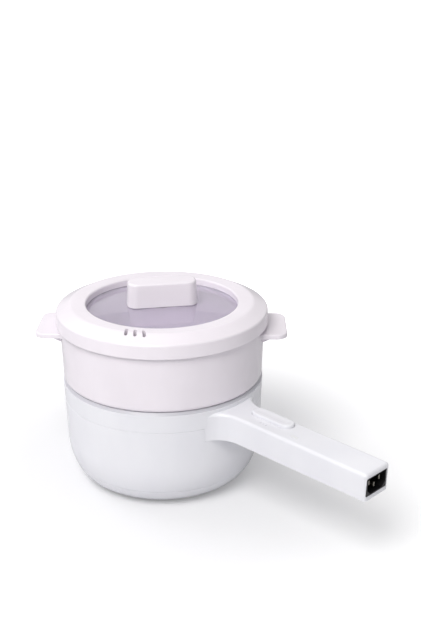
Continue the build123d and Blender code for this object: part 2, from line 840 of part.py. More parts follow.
# From the earth pin along the handle's side wall to the lug on the heating plate
earth_routes = (
    (
        (lead_start, *pin_places[2]), (222.5, -0.7, 80.0), (216.5, 3.6, 77.8),
        (210.0, 8.8, 76.0), (202.0, 11.4, 75.0), (185.0, 12.0, 74.6), (150.0, 12.1, 74.5),
        (115.0, 12.0, 74.7), (102.0, 11.8, 75.6), (94.2, 11.7, 75.4), (90.6, 11.6, 68.0),
        (89.6, 11.6, 55.0), (87.6, 11.7, 42.0), (82.5, 12.0, 30.0), (75.0, 12.6, 22.3),
        (68.0, 13.2, 19.3), (62.8, 14.2, plate_z - lug_thickness - lead_radius - fit_gap),
    ),
)

with BuildPart() as mains_leads:
    for route in mains_routes:
        with BuildLine():
            path = FilletPolyline(*route, radius=bend_radii(route))
        with BuildSketch(Plane(origin=path @ 0, z_dir=path % 0)):
            Circle(lead_radius)
        sweep(path=path)

with BuildPart() as heater_leads:
    for route in heater_routes:
        with BuildLine():
            path = FilletPolyline(*route, radius=bend_radii(route))
        with BuildSketch(Plane(origin=path @ 0, z_dir=path % 0)):
            Circle(lead_radius)
        sweep(path=path)

with BuildPart() as earth_lead:
    for route in earth_routes:
        with BuildLine():
            path = FilletPolyline(*route, radius=bend_radii(route))
        with BuildSketch(Plane(origin=path @ 0, z_dir=path % 0)):
            Circle(lead_radius)
        sweep(path=path)

# ---------------------------------------------------------------- steamer

with BuildPart() as ears:
    ear_top = steamer_rim_z - ear_drop
    ear_base = ear_top - ear_thickness
    with BuildSketch(Plane.XY.offset(ear_base)):
        with Locations(Rotation(0, 0, ear_angle)):
            Rectangle(2 * ear_reach, ear_width)
        fillet(vertices(), ear_corner_radius)
        Circle(ear_root_circle)
        on_circle = vertices().filter_by(lambda v: abs(hypot(v.X, v.Y) - ear_root_circle) < 0.01)
        fillet(on_circle, ear_root_radius)
    extrude(amount=ear_thickness)
    fillet(faces().sort_by(Axis.Z)[-1].edges(), ear_rounds[0])
    fillet(faces().sort_by(Axis.Z)[0].edges(), ear_rounds[1])
    # two ribs under each ear
    for turn in (0, 180):
        for side in (-1, 1):
            rib_plane = Plane.XZ.rotated((0, 0, ear_angle + turn))
            with BuildSketch(rib_plane.offset(side * rib_spacing / 2)):
                with BuildLine():
                    Polyline(
                        (rib_start, ear_base - rib_depth),
                        (rib_start, ear_base),
                        (rib_reach, ear_base),
                        (rib_reach, ear_base - rib_tip),
                        close=True,
                    )
                make_face()
            extrude(amount=rib_thickness / 2, both=True)
    trim_base = ear_base - rib_depth
    column(ear_trim_radius, trim_base, steamer_rim_z, mode=Mode.SUBTRACT)

with BuildPart() as steamer_tray:
    floor_z = rim_z + steamer_thickness
    lip_z = steamer_rim_z - steamer_lip_height
    inner_base = steamer_base_radius - steamer_thickness
    with BuildSketch(Plane.XZ):
        with BuildLine():
            Polyline(
                (0, rim_z),
                (steamer_base_radius, rim_z),
                (steamer_wall_top_radius, lip_z - steamer_lip_step),
                (steamer_lip_radius, lip_z),
                (steamer_lip_radius, steamer_rim_z),
                (steamer_mouth_radius, steamer_rim_z),
                (inner_base, floor_z),
                (0, floor_z),
                close=True,
            )
        make_face()
        fillet(vertices().group_by(Axis.Y)[0].sort_by(Axis.X)[-1], steamer_corner_radius)
        on_floor = vertices().filter_by(lambda v: abs(v.Y - floor_z) < 0.01)
        fillet(on_floor.sort_by(Axis.X)[-1], steamer_inner_corner)
        fillet(vertices().group_by(Axis.Y)[-1].sort_by(Axis.X)[-1], steamer_rim_rounds[0])
        fillet(vertices().group_by(Axis.Y)[-1].sort_by(Axis.X)[0], steamer_rim_rounds[1])
    revolve(axis=Axis.Z)
    # spigot that drops into the pot's mouth
    with BuildSketch(Plane.XY.offset(rim_z)):
        Circle(spigot_radius)
        Circle(spigot_radius - spigot_wall, mode=Mode.SUBTRACT)
    extrude(amount=-spigot_depth)
    # steam holes in the floor
    with BuildSketch(Plane.XY.offset(rim_z)):
        Circle(steam_hole_radius)
        for ring_number in range(1, steam_hole_rings + 1):
            with PolarLocations(ring_number * steam_hole_pitch, 6 * ring_number):
                Circle(steam_hole_radius)
    extrude(amount=steamer_thickness, mode=Mode.SUBTRACT)
    add(ears.part)

# ---------------------------------------------------------------- lid

with BuildPart() as lid_ring:
    seat_radius = glass_radius + gasket_width
    skirt_z = steamer_rim_z - lid_overlap
    inner_skirt_z = steamer_rim_z - inner_skirt_depth
    skirt_bore = lid_radius - lid_skirt_wall
    roof_inner, roof_corner, roof_outer = [lid_top_z - drop for drop in lid_hollow_drops]
    with BuildSketch(Plane.XZ):
        with BuildLine():
            Polyline(
                (lid_radius + lid_flare, skirt_z),
                (lid_radius, lid_z),
                (shoulder_radius, lid_top_z),
                (glass_opening, lid_top_z - inner_edge_drop),
                (glass_opening, glass_edge_z),
                (seat_radius, glass_edge_z),
                (seat_radius, retainer_z),
                (lid_hollow_radius, retainer_z),
                (lid_hollow_radius, roof_inner),
                (lid_hollow_corner, roof_corner),
                (inner_skirt_radii[0], roof_outer),
                (inner_skirt_radii[0], inner_skirt_z),
                (inner_skirt_radii[1], inner_skirt_z),
                (inner_skirt_radii[1], steamer_rim_z),
                (skirt_bore, steamer_rim_z),
                (skirt_bore + lid_flare, skirt_z),
                close=True,
            )
        make_face()
        on_top = vertices().filter_by(lambda v: v.Y > lid_z - fit_gap).sort_by(Axis.X)
        fillet(on_top[-1], lid_edge_round)
        fillet(vertices().group_by(Axis.Y)[-1], shoulder_round)
        fillet(vertices().sort_by(Axis.X).filter_by(lambda v: v.Y > lid_z)[0], inner_edge_round)
    revolve(axis=Axis.Z)
    column(ring_boss_radius, retainer_z, roof_corner + fit_gap, ring_screw_places)
    column(
        ring_pilot_radius, retainer_z, retainer_z + ring_pilot_depth,
        ring_screw_places, Mode.SUBTRACT,
    )
    # three slanted steam slots across the shoulder's upper edge
    for step in (-1, 0, 1):
        with BuildSketch(Plane.XY.offset(lid_top_z)):
            with Locations(Rotation(0, 0, slot_angle + step * slot_pitch)):
                with Locations((slot_circle, 0)):
                    SlotOverall(*slot_size, rotation=slot_slant)
        extrude(amount=-slot_depth, mode=Mode.SUBTRACT)

with BuildPart() as lid_glass:
    column(glass_radius, retainer_z, glass_top_z)
    with Locations((0, 0, sphere_z)):
        Sphere(glass_sphere, mode=Mode.INTERSECT)
        Sphere(glass_sphere - glass_thickness, mode=Mode.SUBTRACT)
    column(glass_hole_radius, retainer_z, glass_top_z, mode=Mode.SUBTRACT)

with BuildPart() as glass_gasket:
    gasket_shelf = glass_edge_z - glass_thickness - gasket_lip_drop
    with BuildSketch(Plane.XZ):
        with BuildLine():
            Polyline(
                (glass_radius, glass_edge_z - fit_gap),
                (seat_radius - fit_gap, glass_edge_z - fit_gap),
                (seat_radius - fit_gap, retainer_z + fit_gap),
                (gasket_bore, retainer_z + fit_gap),
                (gasket_bore, gasket_shelf),
                (glass_radius, gasket_shelf),
                close=True,
            )
        make_face()
    revolve(axis=Axis.Z)

with BuildPart() as retaining_ring:
    with BuildSketch(Plane.XY.offset(retainer_z - retaining_thickness)):
        Circle(inner_skirt_radii[0] - running_gap)
        Circle(retaining_bore, mode=Mode.SUBTRACT)
        with Locations(*ring_screw_places):
            Circle(ring_hole_radius, mode=Mode.SUBTRACT)
        with PolarLocations(ring_screw_circle, ring_vent_count, start_angle=180 / ring_vent_count):
            Circle(ring_vent_radius, mode=Mode.SUBTRACT)
    extrude(amount=retaining_thickness)

with BuildPart() as ring_screws:
    ring_head_radius, ring_head_height = ring_screw_head
    ring_head_z = retainer_z - retaining_thickness
    column(ring_head_radius, ring_head_z - ring_head_height, ring_head_z, ring_screw_places)
    column(ring_screw_radius, ring_head_z, retainer_z + ring_screw_length, ring_screw_places)

# ---------------------------------------------------------------- knob

knob_top = Plane(origin=(0, 0, lid_z + knob_rise)).rotated((0, 0, knob_angle))
knob_height = lid_z + knob_rise - glass_edge_z

with BuildPart() as lid_knob:
    with BuildSketch(knob_top):
        RectangleRounded(knob_length, knob_width, knob_corner)
    extrude(amount=-knob_height, taper=knob_draft)
    fillet(faces().sort_by(Axis.Z)[-1].edges(), knob_edge_radius)
    with BuildSketch(knob_top.offset(-knob_wall)):
        RectangleRounded(
            knob_length - 2 * knob_wall, knob_width - 2 * knob_wall, knob_corner - knob_wall
        )
    extrude(amount=knob_wall - knob_height, taper=knob_draft, mode=Mode.SUBTRACT)
    column(knob_boss_radius, glass_edge_z, lid_z + knob_rise - knob_wall + fit_gap)
    with Locations((0, 0, sphere_z)):
        Sphere(glass_sphere + knob_gap, mode=Mode.SUBTRACT)
    column(knob_pilot_radius, glass_edge_z, glass_edge_z + knob_pilot_depth, mode=Mode.SUBTRACT)

with BuildPart() as knob_washer:
    washer_radius, washer_thickness = knob_washer_size
    column(washer_radius, glass_top_z, glass_top_z + washer_thickness)
    column(washer_bore, glass_top_z, glass_top_z + washer_thickness, mode=Mode.SUBTRACT)

with BuildPart() as screw_washer:
    washer_radius, washer_thickness = screw_washer_size
    washer_top = glass_top_z - glass_thickness - fit_gap
    column(washer_radius, washer_top - washer_thickness, washer_top)
    column(washer_bore, washer_top - washer_thickness, washer_top, mode=Mode.SUBTRACT)

with BuildPart() as knob_screw:
    bolt_head_radius, bolt_head_height = knob_bolt_head
    bolt_seat = washer_top - washer_thickness
    column(bolt_head_radius, bolt_seat - bolt_head_height, bolt_seat)
    column(knob_bolt_radius, bolt_seat, bolt_seat + knob_bolt_length)

# ---------------------------------------------------------------- files

pieces = {
    "upper_housing": upper_housing,
    "lower_housing": lower_housing,
    "base_cover": base_cover,
    "feet": feet,
    "base_screws": base_screws,
    "rim_ring": rim_ring,
    "rim_gasket": rim_gasket,
    "inner_pot": inner_pot,
    "heating_plate": heating_plate,
    "heating_element": heating_element,
    "element_terminals": element_terminals,
    "thermostat": thermostat,
    "thermostat_bracket": thermostat_bracket,
    "bracket_screws": bracket_screws,
    "thermal_fuse": thermal_fuse,
    "heat_shield": heat_shield,
    "shield_spacers": shield_spacers,
    "earth_lug": earth_lug,
    "earth_screw": earth_screw,
    "handle_cover": handle_cover,
    "handle_screws": handle_screws,
    "circuit_board": circuit_board,
    "board_screws": board_screws,
    "board_components": board_components,
    "button_switch": button_switch,
    "indicator_light": indicator_light,
    "indicator_lens": indicator_lens,
    "power_button": power_button,
    "button_spring": button_spring,
    "inlet_housing": inlet_housing,
    "inlet_pins": inlet_pins,
    "mains_leads": mains_leads,
    "heater_leads": heater_leads,
    "earth_lead": earth_lead,
    "steamer_tray": steamer_tray,
    "lid_ring": lid_ring,
    "lid_glass": lid_glass,
    "glass_gasket": glass_gasket,
    "retaining_ring": retaining_ring,
    "ring_screws": ring_screws,
    "lid_knob": lid_knob,
    "knob_washer": knob_washer,
    "screw_washer": screw_washer,
    "knob_screw": knob_screw,
}
for name, piece in pieces.items():
    piece.part.label = name
    export_step(piece.part, f"parts/{name}.step")
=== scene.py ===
from math import asin, atan2, cos, pi, radians, sin, sqrt, tan

import bmesh
import bpy
from mathutils import Matrix, Vector


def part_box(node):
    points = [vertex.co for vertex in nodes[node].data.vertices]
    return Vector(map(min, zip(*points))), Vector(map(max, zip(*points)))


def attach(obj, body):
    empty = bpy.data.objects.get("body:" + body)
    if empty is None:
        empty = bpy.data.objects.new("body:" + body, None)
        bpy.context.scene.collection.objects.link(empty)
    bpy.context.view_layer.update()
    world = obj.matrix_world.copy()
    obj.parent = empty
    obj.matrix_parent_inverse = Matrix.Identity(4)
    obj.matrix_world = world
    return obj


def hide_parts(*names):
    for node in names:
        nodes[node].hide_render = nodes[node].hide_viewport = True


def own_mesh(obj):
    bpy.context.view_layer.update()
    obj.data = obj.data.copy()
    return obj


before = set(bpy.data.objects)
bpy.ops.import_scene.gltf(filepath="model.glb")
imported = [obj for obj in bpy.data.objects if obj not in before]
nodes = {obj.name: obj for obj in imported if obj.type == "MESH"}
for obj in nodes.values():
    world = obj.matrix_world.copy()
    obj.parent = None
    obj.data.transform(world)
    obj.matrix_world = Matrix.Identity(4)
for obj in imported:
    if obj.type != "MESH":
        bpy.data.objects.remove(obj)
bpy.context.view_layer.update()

scene = bpy.context.scene
mm = 0.001
keepSharp = 38  # degrees between two faces, above which their edge stays sharp


# Small tools for shapes

def extent(node):
    low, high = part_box(node)
    return low / mm, high / mm


def roundCorner(bm, vert, radius):
    # rounds one corner of a flat outline, radius in mm
    along = [edge.other_vert(vert).co - vert.co for edge in vert.link_edges]
    reach = radius * mm / tan(along[0].angle(along[1]) / 2)
    steps = 3 if radius < 0.7 else 6 if radius < 4 else 10
    bmesh.ops.bevel(
        bm, geom=[vert], affect="VERTICES", offset=reach, offset_type="OFFSET",
        segments=steps, profile=0.5, material=-1,
    )


def outlined(corners, standing=False):
    # a flat face from (across, up, rounding) corners in mm, standing in XZ or lying in XY
    bm = bmesh.new()
    verts = []
    for across, up, *_ in corners:
        place = (across, 0, up) if standing else (across, up, 0)
        verts.append(bm.verts.new(Vector(place) * mm))
    bm.faces.new(verts)
    for vert, corner in zip(verts, corners):
        if len(corner) > 2:
            roundCorner(bm, vert, corner[2])
    bmesh.ops.remove_doubles(bm, verts=bm.verts, dist=0.05 * mm)
    return bm


def turned(corners, steps=192):
    # turns a section of (radius, height, rounding) corners about the pot's axis
    bm = outlined(corners, standing=True)
    bmesh.ops.delete(bm, geom=bm.faces[:], context="FACES_ONLY")
    onAxis = [vert for vert in bm.verts if vert.co.x < 0.01 * mm]
    bmesh.ops.delete(bm, geom=onAxis, context="VERTS")
    bmesh.ops.spin(
        bm, geom=bm.verts[:] + bm.edges[:], cent=(0, 0, 0), axis=(0, 0, 1),
        angle=2 * pi, steps=steps, use_merge=True,
    )
    openEdges = [edge for edge in bm.edges if edge.is_boundary]
    if openEdges:
        bmesh.ops.holes_fill(bm, edges=openEdges, sides=0)
    bmesh.ops.recalc_face_normals(bm, faces=bm.faces)
    return bm


def thickened(bm, push):
    # gives a flat outline its thickness, along a vector in mm
    region = bmesh.ops.extrude_face_region(bm, geom=bm.faces[:])["geom"]
    far = [item for item in region if isinstance(item, bmesh.types.BMVert)]
    bmesh.ops.translate(bm, verts=far, vec=[c * mm for c in push])
    bmesh.ops.recalc_face_normals(bm, faces=bm.faces)
    return bm


def prism(corners, low, high):
    # a lying outline, extruded from one height to another
    bm = outlined(corners)
    bmesh.ops.translate(bm, verts=bm.verts, vec=(0, 0, low * mm))
    return thickened(bm, (0, 0, high - low))


def blockCorners(length, width, rounding=0.0, centre=(0.0, 0.0)):
    x, y = centre
    signs = ((-1, -1), (1, -1), (1, 1), (-1, 1))
    return [(x + i * length / 2, y + j * width / 2, rounding) if rounding
            else (x + i * length / 2, y + j * width / 2) for i, j in signs]


def rod(radius, low, high, place, sides=32):
    bm = bmesh.new()
    bmesh.ops.create_cone(
        bm, cap_ends=True, segments=sides, radius1=radius * mm, radius2=radius * mm,
        depth=(high - low) * mm,
    )
    bmesh.ops.translate(bm, verts=bm.verts, vec=Vector((*place, (low + high) / 2)) * mm)
    return bm


def joined(parts):
    whole = parts[0]
    for part in parts[1:]:
        mesh = bpy.data.meshes.new("joining")
        part.to_mesh(mesh)
        part.free()
        whole.from_mesh(mesh)
        bpy.data.meshes.remove(mesh)
    return whole


def rods(radius, low, high, places, sides=32):
    return joined([rod(radius, low, high, place, sides) for place in places])


def at(x, y, z=0.0):
    return Matrix.Translation(Vector((x, y, z)) * mm)


def moved(bm, matrix):
    bmesh.ops.transform(bm, matrix=matrix, verts=bm.verts)
    return bm


def around(bm, angles):
    # copies of a shape turned about the pot's axis, in degrees
    copies = []
    for angle in angles:
        copies.append(moved(bm.copy(), Matrix.Rotation(radians(angle), 4, "Z")))
    bm.free()
    return joined(copies)


def carved(bm, tool, operation="DIFFERENCE"):
    # cuts a tool out of a closed shape, or welds it on with UNION
    blanks = []
    for shape in (bm, tool):
        mesh = bpy.data.meshes.new("blank")
        shape.to_mesh(mesh)
        shape.free()
        blanks.append(bpy.data.objects.new("blank", mesh))
        scene.collection.objects.link(blanks[-1])
    cut = blanks[0].modifiers.new("cut", "BOOLEAN")
    cut.object, cut.operation, cut.solver = blanks[1], operation, "EXACT"
    result = bmesh.new()
    result.from_object(blanks[0], bpy.context.evaluated_depsgraph_get())
    for blank in blanks:
        bpy.data.meshes.remove(blank.data)
    bmesh.ops.remove_doubles(result, verts=result.verts, dist=0.01 * mm)
    return result


def softened(bm, width, chosen, steps=2):
    # rounds the edges that the test picks, width in mm
    edges = [edge for edge in bm.edges if edge.is_manifold and chosen(edge)]
    bmesh.ops.bevel(
        bm, geom=edges, affect="EDGES", offset=width * mm, offset_type="OFFSET",
        segments=steps, profile=0.5, material=-1, clamp_overlap=True,
    )
    return bm


def level(height, slack=0.02):
    # picks edges that lie at a height in mm
    return lambda edge: all(abs(v.co.z / mm - height) < slack for v in edge.verts)


def sharp(angle):
    return lambda edge: edge.calc_face_angle(0) > radians(angle)


def makePiece(name, bm, material, body, node):
    # the mesh becomes an object that rides a body, in place of the node that it stands for
    bmesh.ops.remove_doubles(bm, verts=bm.verts, dist=0.002 * mm)
    mesh = bpy.data.meshes.new(name)
    bm.to_mesh(mesh)
    bm.free()
    mesh.shade_smooth()
    mesh.set_sharp_from_angle(angle=radians(keepSharp))
    mesh.materials.append(material)
    piece = bpy.data.objects.new(name, mesh)
    scene.collection.objects.link(piece)
    normals = piece.modifiers.new("evenNormals", "WEIGHTED_NORMAL")
    normals.keep_sharp = True
    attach(piece, body)
    if node:
        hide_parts(node)
    return piece


# Small tools for finishes

def linear(code):
    # an sRGB hex code as the linear colour that the shader takes
    channels = [int(code[i:i + 2], 16) / 255 for i in (0, 2, 4)]
    return (*[c / 12.92 if c <= 0.04045 else ((c + 0.055) / 1.055) ** 2.4 for c in channels], 1.0)


def addNode(material, kind, sockets=None, **settings):
    # a node as a value stands for its first output; a pattern that is given no place reads the
    # object's own coordinates
    tree = material.node_tree
    node = tree.nodes.new("ShaderNode" + kind)
    sockets = dict(sockets or {})
    if kind.startswith("Tex") and "Vector" in node.inputs:
        sockets.setdefault("Vector", tree.nodes["place"].outputs["Object"])
    for name, value in settings.items():
        setattr(node, name, value)
    for name, value in sockets.items():
        if isinstance(value, bpy.types.Node):
            value = value.outputs[0]
        if isinstance(value, bpy.types.NodeSocket):
            tree.links.new(value, node.inputs[name])
        else:
            node.inputs[name].default_value = value
    return node


def newFinish(name, **fixed):
    # a material with its shader; fixed values sit on the shader's own sockets
    material = bpy.data.materials.new(name)
    material.use_nodes = True
    material.node_tree.nodes.new("ShaderNodeTexCoord").name = "place"
    shader = material.node_tree.nodes["Principled BSDF"]
    for socket, value in fixed.items():
        shader.inputs[socket.replace("_", " ")].default_value = value
    return material, shader


def wire(material, socket, target):
    material.node_tree.links.new(socket, target)


def surfaced(material, shader, tone, rough, relief):
    # the last step of a finish. tone: a share and the two colours it goes between; relief: the
    # height, its depth in mm and its strength
    share, dark, pale = tone
    height, depth, strength = relief
    colour = addNode(material, "Mix", {0: share, 6: dark, 7: pale}, data_type="RGBA")
    bump = addNode(material, "Bump", {"Height": height, "Distance": depth * mm, "Strength": strength})
    wire(material, colour.outputs[2], shader.inputs["Base Color"])
    wire(material, rough.outputs[0], shader.inputs["Roughness"])
    wire(material, bump.outputs[0], shader.inputs["Normal"])
    return material


def perMm(size):
    # pattern scale that makes one cell this many millimetres
    return 1 / (size * mm)


def stretchedBy(material, x, y, z, turn=(0.0, 0.0, 0.0)):
    place = material.node_tree.nodes["place"].outputs["Object"]
    sockets = {"Vector": place, "Rotation": tuple(radians(a) for a in turn), "Scale": (x, y, z)}
    return addNode(material, "Mapping", sockets)


# Camera, floor and light

view = {
    "aim": (0.0179, 0.0477, 0.1524),  # point that the lens looks at
    "distance": 1.0,
    "azimuth": 44.7,  # from the front, towards the handle
    "elevation": 20.72,
    "lens": 58.02,
    "sensor": 36,  # mm along the long side
    "clip": (0.05, 50),
}

studio = {
    "floorSize": 60.0,
    "sky": 0.445,
    "backdrop": 1.05,  # strength of the sky where the lens sees it
    "sweep": ((0.10, 0.20), (0.60, 1.05)),  # radius and strength of the glow that the lens sees
    "middle": (0, 0, 0.1),  # what the lamps face
    # turn from the front, rise, distance, width, height, power, colour
    "lamps": {
        "keyLight": (20, 50, 1.9, 1.0, 1.0, 23.6, "FFFEFC"),
        "leftLight": (-75, 42, 1.9, 0.9, 0.9, 8.1, "FBFAFF"),
        "backLight": (195, 35, 1.9, 0.9, 0.9, 0.5, "FFFFFF"),
        "backPanel": (225, 16, 2.6, 2.4, 0.9, 2.2, "FFF8FC"),
    },
}


def towards(turn, rise):
    # degrees from the front, round to the handle's side, and upwards
    turn, rise = radians(turn), radians(rise)
    return Vector((sin(turn) * cos(rise), -cos(turn) * cos(rise), sin(rise)))


def placeCamera():
    back = towards(view["azimuth"], view["elevation"])
    data = bpy.data.cameras.new("camera")
    data.lens, data.sensor_width = view["lens"], view["sensor"]
    data.clip_start, data.clip_end = view["clip"]
    camera = bpy.data.objects.new("camera", data)
    camera.location = Vector(view["aim"]) + back * view["distance"]
    camera.rotation_euler = (-back).to_track_quat("-Z", "Y").to_euler()
    scene.collection.objects.link(camera)
    scene.camera = camera


def seenThrough(owner):
    # 1 where the lens looks, straight or through the glass, and 0 for light that falls on things
    rays = addNode(owner, "LightPath").outputs
    return addNode(
        owner, "Math", {0: rays["Is Camera Ray"], 1: rays["Is Transmission Ray"]}, operation="MAXIMUM",
    )


def lightStudio():
    for name, (turn, rise, distance, width, height, power, colour) in studio["lamps"].items():
        away = towards(turn, rise)
        data = bpy.data.lights.new(name, "AREA")
        data.shape, data.size, data.size_y = "RECTANGLE", width, height
        data.energy, data.color = power, linear(colour)[:3]
        lamp = bpy.data.objects.new(name, data)
        lamp.location = Vector(studio["middle"]) + away * distance
        lamp.rotation_euler = away.to_track_quat("Z", "Y").to_euler()
        scene.collection.objects.link(lamp)
    # a soft even fill on the object, plain white behind it
    world = bpy.data.worlds.new("studioSky")
    world.use_nodes = True
    strength = addNode(world, "MapRange", {0: seenThrough(world), 3: studio["sky"], 4: studio["backdrop"]})
    sky = world.node_tree.nodes["Background"]
    wire(world, strength.outputs[0], sky.inputs["Strength"])
    sky.inputs["Color"].default_value = linear("FFFFFF")
    scene.world = world
    scene.view_settings.view_transform = "Standard"


def layFloor():
    bm = bmesh.new()
    bmesh.ops.create_grid(bm, x_segments=8, y_segments=8, size=studio["floorSize"] / 2)
    mesh = bpy.data.meshes.new("studioFloor")
    bm.to_mesh(mesh)
    bm.free()
    material, shader = newFinish("matWhitePaint", Roughness=0.85, Specular_IOR_Level=0.2)
    # rolled matt emulsion with a very faint nap; a painted glow that only the lens sees pales it to white
    # further out, dim near the object
    nap = addNode(material, "TexNoise", {"Scale": perMm(3.0), "Detail": 3.0})
    tone = addNode(
        material, "Mix", {0: nap, 6: linear("D8D8DA"), 7: linear("DBDBDD")}, data_type="RGBA",
    )
    wire(material, tone.outputs[2], shader.inputs["Base Color"])
    place = material.node_tree.nodes["place"].outputs["Object"]
    radius = addNode(material, "VectorMath", {0: place}, operation="LENGTH")
    (near, dim), (far, bright) = studio["sweep"]
    # painted glow, seen only by the lens: dim close to the object, white further out
    glow = addNode(
        material, "MapRange", {0: radius.outputs["Value"], 1: near, 2: far, 3: dim, 4: bright},
        interpolation_type="SMOOTHSTEP",
    )
    shown = addNode(material, "Math", {0: glow, 1: seenThrough(material)}, operation="MULTIPLY")
    shader.inputs["Emission Color"].default_value = (1, 1, 1, 1)
    wire(material, shown.outputs[0], shader.inputs["Emission Strength"])
    mesh.materials.append(material)
    floor = bpy.data.objects.new("studioFloor", mesh)
    scene.collection.objects.link(floor)


placeCamera()
lightStudio()
layFloor()
print("studio ready")


# Finishes

def mouldedPlastic(name, light, shade, roughness, ior=1.49, orangePeel=2.0, relief=0.0012, **fixed):
    # injection-moulded plastic: even colour with broad faint flow clouds, a polished tool's
    # fine orange peel in the reflections, and a few hair scratches from wiping
    material, shader = newFinish(name, IOR=ior, **fixed)
    flow = stretchedBy(material, 1, 1, 0.4)
    clouds = addNode(material, "TexNoise", {"Vector": flow, "Scale": perMm(38.0), "Detail": 3.0})
    cloudShare = addNode(material, "MapRange", {0: clouds, 1: 0.35, 2: 0.65})
    tone = (cloudShare, linear(shade), linear(light))
    patches = addNode(material, "TexNoise", {"Scale": perMm(11.0), "Detail": 4.0, "Roughness": 0.6})
    wiping = stretchedBy(material, 0.05, 1, 0.7, (18, 7, 31))
    hairs = addNode(material, "TexNoise", {"Vector": wiping, "Scale": perMm(0.7), "Detail": 1.0})
    hairShare = addNode(material, "MapRange", {0: hairs, 1: 0.72, 2: 0.80, 3: 0.0, 4: 0.012})
    worn = addNode(
        material, "MapRange",
        {0: patches, 1: 0.3, 2: 0.7, 3: roughness - 0.03, 4: roughness + 0.04},
    )
    rough = addNode(material, "Math", {0: worn, 1: hairShare}, operation="ADD")
    peel = addNode(material, "TexNoise", {"Scale": perMm(orangePeel), "Detail": 1.0, "Roughness": 0.4})
    return surfaced(material, shader, tone, rough, (peel, relief, 0.6))


# Polypropylene from a polished tool: cool white, semi-gloss
potWhite = mouldedPlastic("glossyPolypropylene", "F1F1F6", "EDEDF3", 0.20)
# The steamer and the lid come from another batch, a shade warmer
steamerWhite = mouldedPlastic("steamerPolypropylene", "F4EEF5", "F0EAF1", 0.21)
# Grey-tinted polypropylene with a satin tool finish
rimGrey = mouldedPlastic("satinGreyPolypropylene", "CAC9D0", "C5C4CB", 0.34)
# Glass-filled nylon from a spark-eroded tool: matt black with a fine even grain
inletBlack = mouldedPlastic(
    "sparkErodedNylon", "17171A", "101013", 0.42, ior=1.53, orangePeel=0.5, relief=0.02,
)
# Phenolic moulding, brown-black and fairly dull
phenolicBrown = mouldedPlastic("phenolicMoulding", "3A2A20", "2B1F18", 0.45, ior=1.6, orangePeel=0.5)
# PBT housings of relay and terminal blocks
componentGrey = mouldedPlastic("componentPbt", "2C3A4E", "233042", 0.4, ior=1.55, orangePeel=0.5)
# Milky polycarbonate that spreads the light of the lamp behind it
diffuserWhite = mouldedPlastic(
    "milkyPolycarbonate", "FAFAFC", "F4F4F8", 0.18, ior=1.58, orangePeel=1.4, relief=0.006,
    Subsurface_Weight=0.4, Subsurface_Scale=0.004, Subsurface_Radius=(1, 1, 1),
)


def ceramicCoating():
    # sprayed ceramic non-stick on aluminium: warm grey, tiny darker and lighter flecks, soft gloss
    material, shader = newFinish("ceramicCoating", IOR=1.55, Coat_Weight=0.35, Coat_Roughness=0.12)
    flecks = addNode(material, "TexVoronoi", {"Scale": perMm(1.6), "Randomness": 1.0})
    dots = addNode(material, "MapRange", {0: flecks.outputs["Distance"], 1: 0.10, 2: 0.22, 3: 1.0, 4: 0.0})
    keep = addNode(material, "TexNoise", {"Scale": perMm(2.4), "Detail": 1.0})
    some = addNode(material, "MapRange", {0: keep, 1: 0.52, 2: 0.58})
    share = addNode(material, "Math", {0: dots, 1: some}, operation="MULTIPLY")
    drift = addNode(material, "TexNoise", {"Scale": perMm(25.0)})
    ground = addNode(
        material, "Mix", {0: drift, 6: linear("E6E4EA"), 7: linear("ECEAEF")}, data_type="RGBA",
    )
    tone = (share, ground.outputs[2], linear("BFBCC5"))
    spray = addNode(material, "TexNoise", {"Scale": perMm(0.8), "Detail": 2.0})
    rough = addNode(material, "MapRange", {0: spray, 3: 0.29, 4: 0.38})
    return surfaced(material, shader, tone, rough, (spray, 0.02, 0.5))


def temperedGlass():
    # tempered soda-lime glass with a lavender-grey body tint, faint roller waves and wiped-on haze;
    # lamps shine through it as through a thin pane
    material, shader = newFinish("tintedTemperedGlass", IOR=1.52, Transmission_Weight=0.78)
    rolled = stretchedBy(material, 1, 0.3, 1)
    waves = addNode(material, "TexNoise", {"Vector": rolled, "Scale": perMm(24.0), "Detail": 1.0})
    tone = (waves, linear("DDD8E3"), linear("E2DEE7"))
    haze = addNode(material, "TexNoise", {"Scale": perMm(14.0), "Detail": 5.0, "Roughness": 0.65})
    rough = addNode(material, "MapRange", {0: haze, 1: 0.4, 2: 0.7, 3: 0.0, 4: 0.035})
    surfaced(material, shader, tone, rough, (waves, 0.05, 0.4))
    lampRay = addNode(material, "LightPath").outputs["Is Shadow Ray"]
    passing = addNode(material, "BsdfTransparent", {"Color": linear("DFDBE5")})
    both = addNode(material, "MixShader", {0: lampRay, 1: shader, 2: passing})
    wire(material, both.outputs[0], material.node_tree.nodes["Material Output"].inputs["Surface"])
    return material


def softRubber(name, light, shade, roughness, ior=1.43):
    # cast silicone or rubber: matt, a little cloudy, dust-dulled in patches
    material, shader = newFinish(name, IOR=ior, Sheen_Weight=0.08, Sheen_Roughness=0.5)
    dust = addNode(material, "TexNoise", {"Scale": perMm(6.0), "Detail": 5.0, "Roughness": 0.6})
    tone = (dust, linear(shade), linear(light))
    rough = addNode(material, "MapRange", {0: dust, 3: roughness - 0.06, 4: roughness + 0.08})
    fine = addNode(material, "TexNoise", {"Scale": perMm(0.5), "Detail": 2.0})
    return surfaced(material, shader, tone, rough, (fine, 0.02, 0.5))


